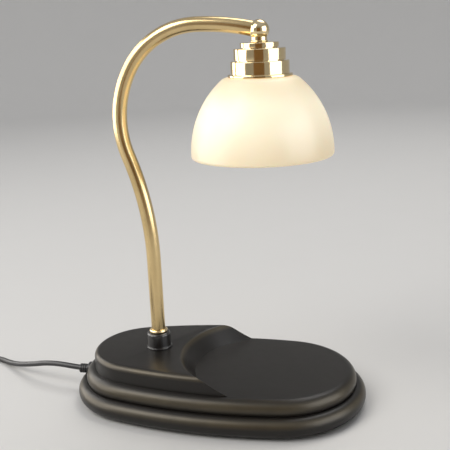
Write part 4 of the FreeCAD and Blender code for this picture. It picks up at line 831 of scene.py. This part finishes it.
def opal_glass():
    finish = Finish("opal_glass")
    level = finish.height()
    # Painted light: the glass glows as if lit by the bulb inside, brightest in a band round its
    # upper middle.
    glow = finish.step(level, 172.0, 203.0) * (1 - finish.step(level, 206.0, 223.0))
    cloud = finish.grain(14.0, 2.0)
    return finish.surface(
        Base_Color=finish.blend(cloud, (0.83, 0.76, 0.57), (0.88, 0.82, 0.65)),
        Roughness=cloud * 0.08 + 0.33,
        Subsurface_Weight=0.25, Subsurface_Scale=0.004,
        Emission_Color=finish.blend(glow, (0.44, 0.32, 0.16), (0.72, 0.64, 0.46)),
        Emission_Strength=0.65,
        Coat_Weight=0.1, Coat_Roughness=0.2,
        Normal=finish.relief(finish.grain(0.5), 0.008))


shade_outline = [
    (NECK_HOLE, 0),
    *arc(shoulder_x, -SHOULDER_CURVE, SHOULDER_CURVE, 90, bell_turn, 10),
    *arc(bell_x, bell_z, SIDE_CURVE, bell_turn, 0, 30)[1:],
    *arc(SHADE_RADIUS - lip, lip - SHADE_HEIGHT, lip, 0, -180, 10),
    *arc(bell_x, bell_z, SIDE_CURVE - GLASS_WALL, 0, bell_turn, 30),
    *arc(shoulder_x, -SHOULDER_CURVE, SHOULDER_CURVE - GLASS_WALL, bell_turn, 90, 10)[1:],
    (NECK_HOLE, -GLASS_WALL),
]
shade = lathe("glass_bell", shade_outline, (TRAY_X, 0, GLASS_LEVEL), opal_glass(), sides=144)
fit(shade, "shade_glass", "shade")


# Lamp holder: a steatite body with two keyhole slots, screwed to a steel strap under the cap.
# The nipple and its nut hold the strap, and two brass springs touch the bulb's pins.
def gasket_fibre():
    finish = Finish("gasket_fibre")
    felt = finish.grain(0.6, 5.0)
    return finish.surface(
        Base_Color=finish.blend(felt, (0.22, 0.18, 0.13), (0.36, 0.3, 0.22)),
        Roughness=felt * 0.1 + 0.8,
        Normal=finish.relief(felt, 0.08))


def steatite():
    finish = Finish("steatite")
    body = finish.grain(4.0)
    return finish.surface(
        Base_Color=finish.blend(body, (0.76, 0.73, 0.67), (0.84, 0.82, 0.77)),
        Roughness=body * 0.1 + 0.38,
        Normal=finish.relief(finish.grain(0.5), 0.02))


def plain_brass():
    finish = Finish("plain_brass")
    cloud = finish.grain(2.0)
    return finish.surface(
        Base_Color=finish.blend(cloud, (0.72, 0.55, 0.28), (0.6, 0.44, 0.22)),
        Metallic=1.0,
        Roughness=cloud * 0.15 + 0.25)


contact_brass = plain_brass()
holder_white = steatite()
paint(gasket_fibre(), "shade_gasket")
paint(zinc_plating, "shade_ring", "socket_strap", "head_nut", "head_nipple", "socket_screws",
      "bulb_pins")
paint(holder_white, "socket_body", "bulb_base")
paint(contact_brass, "socket_contacts")


# Bulb: a pressed glass reflector, mirrored inside and set with rows of small facets, with a
# ribbed front lens. It hangs in the holder by its two pins and is released by a part turn.
BULB_LEVEL = 205.7
REFLECTOR_RADIUS, REFLECTOR_DEPTH, REFLECTOR_BULGE = 24.8, 26.0, 33.0
REFLECTOR_NECK = 11.5
REFLECTOR_WALL, REFLECTOR_RIM, RIM_EASE = 1.6, 3.4, 0.5
FACETS = 40
LENS_THICKNESS, LENS_EDGE, LENS_GAP = 2.0, 0.5, 0.05
LENS_RIBS, RIB_SLOPE, RIB_DEPTH = 11, 0.9, 0.35


def mirrored_glass():
    finish = Finish("mirrored_glass")
    return finish.surface(
        Base_Color=finish.blend(finish.grain(9.0), (0.74, 0.73, 0.7), (0.82, 0.8, 0.76)),
        Metallic=0.9,
        Roughness=finish.grain(3.0) * 0.08 + 0.1)


def lens_glass():
    finish = Finish("lens_glass")
    ripple = finish.grain(1.2, 1.0)
    return finish.surface(
        Base_Color=finish.blend(ripple, (0.9, 0.86, 0.76), (0.96, 0.93, 0.86)),
        Roughness=ripple * 0.1 + 0.15,
        Emission_Color=finish.blend(ripple, (0.85, 0.6, 0.3), (1.0, 0.8, 0.5)),
        Emission_Strength=0.45,
        Normal=finish.relief(ripple, 0.1))


def bowl_curve():
    """The centre of the bowl's outer curve and its angles at the neck and at the rim."""
    top = Vector((REFLECTOR_NECK, 0))
    rim_spot = Vector((REFLECTOR_RADIUS, -REFLECTOR_DEPTH))
    half = (rim_spot - top) / 2
    across = Vector((-half.y, half.x)).normalized()
    centre = top + half - across * math.sqrt(REFLECTOR_BULGE ** 2 - half.length ** 2)
    first = math.degrees(math.atan2(top.y - centre.y, top.x - centre.x))
    last = math.degrees(math.atan2(rim_spot.y - centre.y, rim_spot.x - centre.x))
    return centre, first, last


bowl, neck_turn, rim_turn = bowl_curve()
outer_bowl = arc(*bowl, REFLECTOR_BULGE, neck_turn, rim_turn, 12)
inner_bowl = arc(*bowl, REFLECTOR_BULGE - REFLECTOR_WALL, rim_turn, neck_turn, 12)
rim_level = -REFLECTOR_DEPTH - REFLECTOR_RIM
rim_bore = REFLECTOR_RADIUS - REFLECTOR_WALL
faceted = lathe("faceted_bowl", [
    *outer_bowl, (REFLECTOR_RADIUS, rim_level + RIM_EASE),
    (REFLECTOR_RADIUS - RIM_EASE, rim_level), (rim_bore, rim_level),
    (rim_bore, -REFLECTOR_DEPTH), *inner_bowl],
    (TRAY_X, 0, BULB_LEVEL), mirrored_glass(), sides=FACETS, sharp=12)
lens_level = BULB_LEVEL - REFLECTOR_DEPTH - LENS_THICKNESS
lens_radius = rim_bore - LENS_GAP
ribbed_radius = lens_radius - LENS_EDGE
lens_outline = [(0, LENS_THICKNESS), (lens_radius, LENS_THICKNESS), (lens_radius, 0.4)]
for k in range(LENS_RIBS):
    rib_radius = ribbed_radius - k * ribbed_radius / LENS_RIBS
    lens_outline += [(rib_radius, 0), (rib_radius - RIB_SLOPE, RIB_DEPTH)]
lens_outline.append((0, 0))
lens = lathe("bulb_front", lens_outline, (TRAY_X, 0, lens_level), lens_glass(), sides=72)
fit(faceted, "reflector_glass", "bulb_reflector", body="bulb")
fit(lens, "lens_glass", "bulb_lens", body="bulb")
paint(lens_glass(), "bulb_capsule")


# Wiring in the base and arm: a nylon terminal block joins the cord to two thin leads, which
# go through the arm and the ball to the holder.
def moulded_nylon():
    finish = Finish("moulded_nylon")
    cloud = finish.grain(3.0)
    return finish.surface(
        Base_Color=finish.blend(cloud, (0.72, 0.71, 0.66), (0.8, 0.79, 0.75)),
        Roughness=cloud * 0.1 + 0.4)


def lead_plastic():
    finish = Finish("lead_plastic")
    cloud = finish.grain(2.0)
    return finish.surface(
        Base_Color=finish.blend(cloud, (0.08, 0.08, 0.09), (0.13, 0.13, 0.14)),
        Roughness=cloud * 0.1 + 0.35)


paint(moulded_nylon(), "terminal_block")
paint(contact_brass, "terminal_screws")
paint(lead_plastic(), "arm_leads")


# Cord bushing: a snap-in strain relief in black rubber-like plastic. Its flange sits in the
# shell's round edge, and four rings round its nose let it bend with the cord.
BUSHING_RINGS, RING_PITCH = 4, 1.6
RING_RADIUS, GROOVE_RADIUS = 3.36, 2.9
FLANGE_RADIUS, FLANGE_BACK = 5.0, -2.0
bushing_rings = []
for k in range(BUSHING_RINGS):
    ring_x = 0.6 - BUSHING_NOSE + RING_PITCH * k
    bushing_rings += [(RING_RADIUS, ring_x, 0.12), (RING_RADIUS, ring_x + 0.9, 0.12),
                      (GROOVE_RADIUS, ring_x + 1.0, 0.1), (GROOVE_RADIUS, ring_x + 1.5, 0.1)]
bushing = lathe("cord_relief", rounded([
    (2.3, -BUSHING_NOSE, 0.1), (3.3, -BUSHING_NOSE, 0.3), *bushing_rings,
    (3.5, FLANGE_BACK, 0.2), (FLANGE_RADIUS, FLANGE_BACK, 0.5), (FLANGE_RADIUS, 0.0, 0.3),
    (3.6, 0.0, 0), (3.6, 12.0, 0.3), (2.1, 12.0, 0.1)]),
    (BUSHING_FACE_X, 0, EXIT_HEIGHT), black_cord, sides=48, turn=ALONG_X)
fit(bushing, "cord_black", "cord_bushing")


# In-line switch: two moulded half shells screwed together round the cord, with a rocker in a
# window of the upper one. The rocker has a dished top with a raised bar and a raised ring.
SWITCH_HALF_WIDTH, SWITCH_HALF_LENGTH = 11.5, 27.0
SWITCH_HEIGHT = 19.0
SWITCH_POWER = 5.0
SWITCH_EDGE = 3.0
SEAM_INSET, SEAM_BEVEL, SEAM_GAP = 0.35, 0.4, 0.05


def squared_circle(power, count):
    """Points of a circle of radius 1, the squarer the higher the power; 2 leaves it round."""
    points = []
    for k in range(count):
        c, s = math.cos(math.tau * k / count), math.sin(math.tau * k / count)
        grow = (abs(c) ** power + abs(s) ** power) ** (-1 / power)
        points.append((grow * c, grow * s))
    return points


def switch_ring(inset, level):
    """The switch's plan, a rounded oblong, drawn in by inset."""
    return [(SWITCH_X + (SWITCH_HALF_WIDTH - inset) * across,
             SWITCH_Y + (SWITCH_HALF_LENGTH - inset) * along, level)
            for across, along in squared_circle(SWITCH_POWER, 96)]


def textured_black():
    finish = Finish("textured_black")
    spark = finish.grain(0.45)
    return finish.surface(
        Base_Color=finish.blend(spark, (0.016, 0.016, 0.017), (0.035, 0.035, 0.036)),
        Roughness=spark * 0.15 + 0.38,
        Normal=finish.relief(spark, 0.05))


switch_black = textured_black()
seam_level = SWITCH_HEIGHT / 2
quarter = [math.radians(turned) for turned in range(0, 91, 15)]
lower_rings = [switch_ring(SWITCH_EDGE * (1 - math.sin(turned)),
                           SWITCH_EDGE * (1 - math.cos(turned))) for turned in quarter]
lower_shell = skin("switch_tub", [*lower_rings, switch_ring(0, seam_level - SEAM_BEVEL),
                                  switch_ring(SEAM_INSET, seam_level - SEAM_GAP)], switch_black)
upper_rings = [switch_ring(SWITCH_EDGE * (1 - math.cos(turned)),
                           SWITCH_HEIGHT - SWITCH_EDGE * (1 - math.sin(turned)))
               for turned in quarter]
upper_shell = skin("switch_cover", [switch_ring(SEAM_INSET, seam_level + SEAM_GAP),
                                    switch_ring(0, seam_level + SEAM_BEVEL), *upper_rings],
                   switch_black)
WINDOW_WIDTH, WINDOW_LENGTH, WINDOW_DEPTH = 10.2, 20.0, 12.0
ROCKER_WIDTH, ROCKER_LENGTH = 9.6, 18.0
ROCKER_END, ROCKER_DISH, ROCKER_WAIST = 5.4, 1.1, 1.8
ROCKER_EASE = 0.6
ROCKER_TILT = math.radians(-7.0)
PIVOT_LEVEL = 14.7
carve(upper_shell, bar("window", (WINDOW_WIDTH, WINDOW_LENGTH, WINDOW_DEPTH),
                       (SWITCH_X, SWITCH_Y, SWITCH_HEIGHT), switch_black, 0.8))
half_rocker, reach = ROCKER_WIDTH / 2, ROCKER_LENGTH / 2
rocker_side = [(-reach, ROCKER_WAIST), (-reach, ROCKER_END - ROCKER_EASE),
               (ROCKER_EASE - reach, ROCKER_END),
               *[(y, ROCKER_END - ROCKER_DISH * (1 - (y / reach) ** 2))
                 for y in range(-6, 7, 2)],
               (reach - ROCKER_EASE, ROCKER_END), (reach, ROCKER_END - ROCKER_EASE),
               (reach, ROCKER_WAIST), (3.0, -4.3), (-3.0, -4.3)]
rocker = skin("rocker_cap", [[(x, y * narrow, z) for y, z in rocker_side] for x, narrow in (
    (-half_rocker, 0.97), (-half_rocker + 0.35, 1.0), (half_rocker - 0.35, 1.0),
    (half_rocker, 0.97))], switch_black)
pivot = Vector((SWITCH_X, SWITCH_Y, PIVOT_LEVEL)) * MM
seat = Matrix.Translation(pivot) @ Matrix.Rotation(ROCKER_TILT, 4, "X")
rocker.data.transform(seat)


def mark_white():
    finish = Finish("mark_white")
    return finish.surface(
        Base_Color=finish.blend(finish.grain(0.8), (0.6, 0.6, 0.58), (0.72, 0.72, 0.7)),
        Roughness=0.5)


marks_paint = mark_white()
bar_mark = bar("bar_mark", (0.5, 2.6, 0.5), (0, 6.2, 4.75), marks_paint, 0.1)
ring_mark = lathe("ring_mark", rounded([(0.9, -0.25, 0), (1.35, -0.25, 0), (1.35, 0.25, 0.1),
                                        (0.9, 0.25, 0.1)]), (0, -6.2, 4.75), marks_paint, sides=32)
for mark in (bar_mark, ring_mark):
    mark.data.transform(seat)
marks = joined("rocker_marks", [bar_mark, ring_mark])
fit(lower_shell, "switch_black", "switch_lower_shell")
fit(upper_shell, "switch_black", "switch_upper_shell")
fit(rocker, "switch_black", "switch_rocker", body="rocker")
fit(marks, "switch_black", body="rocker")
paint(contact_brass, "switch_contacts")
paint(zinc_plating, "switch_screw")


# Plug: a two-blade plug moulded onto the cord's end in soft black plastic, with a tapered
# nose and grip ribs. The blades are stamped brass with nickel plate, a hole in each.
PLUG_HALF_WIDTH, PLUG_HALF_HEIGHT = 11.5, 7.0


def plug_ring(along, half_width, half_height, power):
    """A cross section of the plug, from round at the nose to square in the body."""
    return [(PLUG_NOSE_X + along, PLUG_Y + half_width * across, PLUG_AXIS + half_height * up)
            for across, up in squared_circle(power, 80)]


nose_rings = []
for k in range(5):
    along = 1.2 + 2.0 * k
    girth = 2.95 + 0.14 * along
    nose_rings += [plug_ring(along + shift, girth + grown, girth + grown, 2)
                   for shift, grown in ((0.0, 0.0), (0.3, -0.5), (0.8, -0.5), (1.1, 0.1))]
plug_form = skin("plug_moulding", [
    plug_ring(0.0, 2.6, 2.6, 2), plug_ring(0.2, 2.9, 2.9, 2), *nose_rings,
    plug_ring(11.6, 4.6, 4.6, 2), plug_ring(12.0, 8.4, 4.7, 3.2), plug_ring(12.5, 10.2, 5.7, 4),
    plug_ring(13.6, 11.2, 6.7, 4.6), plug_ring(15.0, PLUG_HALF_WIDTH, PLUG_HALF_HEIGHT, 5),
    plug_ring(27.4, PLUG_HALF_WIDTH, PLUG_HALF_HEIGHT, 5), plug_ring(29.2, 11.1, 6.6, 4.6),
    plug_ring(29.8, 10.2, 5.9, 4.2), plug_ring(30.0, 9.2, 5.0, 4)], black_cord, sharp=40)
RIB_SIZE = (1.0, 13.0, 0.7)
rib_spots = [(PLUG_NOSE_X + along, PLUG_Y, PLUG_AXIS + PLUG_HALF_HEIGHT)
             for along in (16.5, 18.9, 21.3, 23.7, 26.1)]
rib = bar("rib", RIB_SIZE, (0, 0, 0), black_cord, 0.3)
ribs = copies("plug_ribs", rib, rib_spots, black_cord)
BLADE_SPACING, BLADE_LENGTH, BLADE_THICKNESS, BLADE_HEIGHT = 12.7, 24.0, 1.5, 6.3
BLADE_ROOT = 22.0
BLADE_HOLE_PLACE, BLADE_HOLE_RADIUS = 7.5, 1.6
blade_middle = PLUG_NOSE_X + BLADE_ROOT + BLADE_LENGTH / 2
blade = bar("blade", (BLADE_LENGTH, BLADE_THICKNESS, BLADE_HEIGHT), (0, 0, 0), None, 0.45)
hole = lathe("blade_hole", [(0, -3), (BLADE_HOLE_RADIUS, -3), (BLADE_HOLE_RADIUS, 3), (0, 3)],
             (BLADE_HOLE_PLACE, 0, 0), None, sides=24, turn=Matrix.Rotation(math.pi / 2, 4, "X"))
carve(blade, hole)


def nickel():
    finish = Finish("nickel_plate")
    cloud = finish.grain(3.0)
    return finish.surface(
        Base_Color=finish.blend(cloud, (0.66, 0.62, 0.54), (0.74, 0.71, 0.64)),
        Metallic=1.0,
        Roughness=cloud * 0.12 + 0.2)


blade_spots = [(blade_middle, PLUG_Y + side * BLADE_SPACING / 2, PLUG_AXIS) for side in (1, -1)]
blades = copies("plug_prongs", blade, blade_spots, nickel())
fit(plug_form, "cord_black", "plug_body")
fit(ribs, "cord_black")
fit(blades, "contact_brass", "plug_blades")


# Stage: a plain pale floor that curves up into a wall all round, under two large soft panels.
# Two low panels at the sides and a dark screen in front show only as bands in the metal.
FLOOR_REACH, WALL_TURN, WALL_HEIGHT, WALL_THICKNESS = 1900.0, 800.0, 2600.0, 50.0
SCREEN_SIZE, SCREEN_PLACE = (600.0, 10.0, 620.0), (125.0, -790.0, 310.0)
LAMP_MIDDLE = Vector((0, 0, 0.12))


def floor_paint():
    finish = Finish("floor_paint")
    return finish.surface(
        Base_Color=finish.blend(finish.grain(60.0), (0.72, 0.71, 0.69), (0.73, 0.72, 0.70)),
        Roughness=0.75, Specular_IOR_Level=0.1)


def light_panel(name, place, size, power, colour, mirrored_only=False):
    """A panel of light, placed and sized in metres, that faces the lamp's middle."""
    data = bpy.data.lights.new(name, "AREA")
    data.shape = "RECTANGLE"
    data.size, data.size_y = size
    data.energy = power
    data.color = colour
    panel = bpy.data.objects.new(name, data)
    panel.location = place
    panel.rotation_euler = (LAMP_MIDDLE - Vector(place)).to_track_quat("-Z", "Y").to_euler()
    panel.visible_camera = False
    panel.visible_diffuse = not mirrored_only
    scene.collection.objects.link(panel)


wall_inside = FLOOR_REACH + WALL_TURN
wall_outside = wall_inside + WALL_THICKNESS
floor = lathe("floor", [
    (0, 0), *arc(FLOOR_REACH, WALL_TURN, WALL_TURN, -90, 0, 24), (wall_inside, WALL_HEIGHT),
    (wall_outside, WALL_HEIGHT), (wall_outside, -WALL_THICKNESS), (0, -WALL_THICKNESS)],
    (0, 0, 0), floor_paint())


def screen_cloth():
    finish = Finish("screen_cloth")
    return finish.surface(
        Base_Color=finish.blend(finish.grain(60.0), (0.27, 0.15, 0.05), (0.29, 0.16, 0.06)),
        Roughness=0.9)


screen = bar("dark_screen", SCREEN_SIZE, SCREEN_PLACE, screen_cloth())
screen.visible_camera = False
screen.visible_diffuse = False
screen.visible_shadow = False
screen.visible_transmission = False

light_panel("main_panel", (-0.9, -0.8, 1.3), (1.0, 1.0), 14.0, (1.0, 0.98, 0.95))
light_panel("top_panel", (0.3, 0.75, 1.7), (1.0, 1.0), 10.0, (1.0, 0.98, 0.95))
light_panel("left_panel", (-0.75, -0.05, 0.36), (1.15, 0.7), 8.5, (1.0, 0.97, 0.93),
            mirrored_only=True)
light_panel("right_panel", (0.82, -0.22, 0.36), (0.8, 0.7), 5.5, (0.95, 0.97, 1.0),
            mirrored_only=True)

world = bpy.data.worlds.new("studio")
world.use_nodes = True
scene.world = world
Tree(world.node_tree).join(world.node_tree.nodes["Background"],
                           {"Color": (0.9, 0.93, 1.0, 1.0), "Strength": 0.5})

scene.view_settings.view_transform = "Standard"
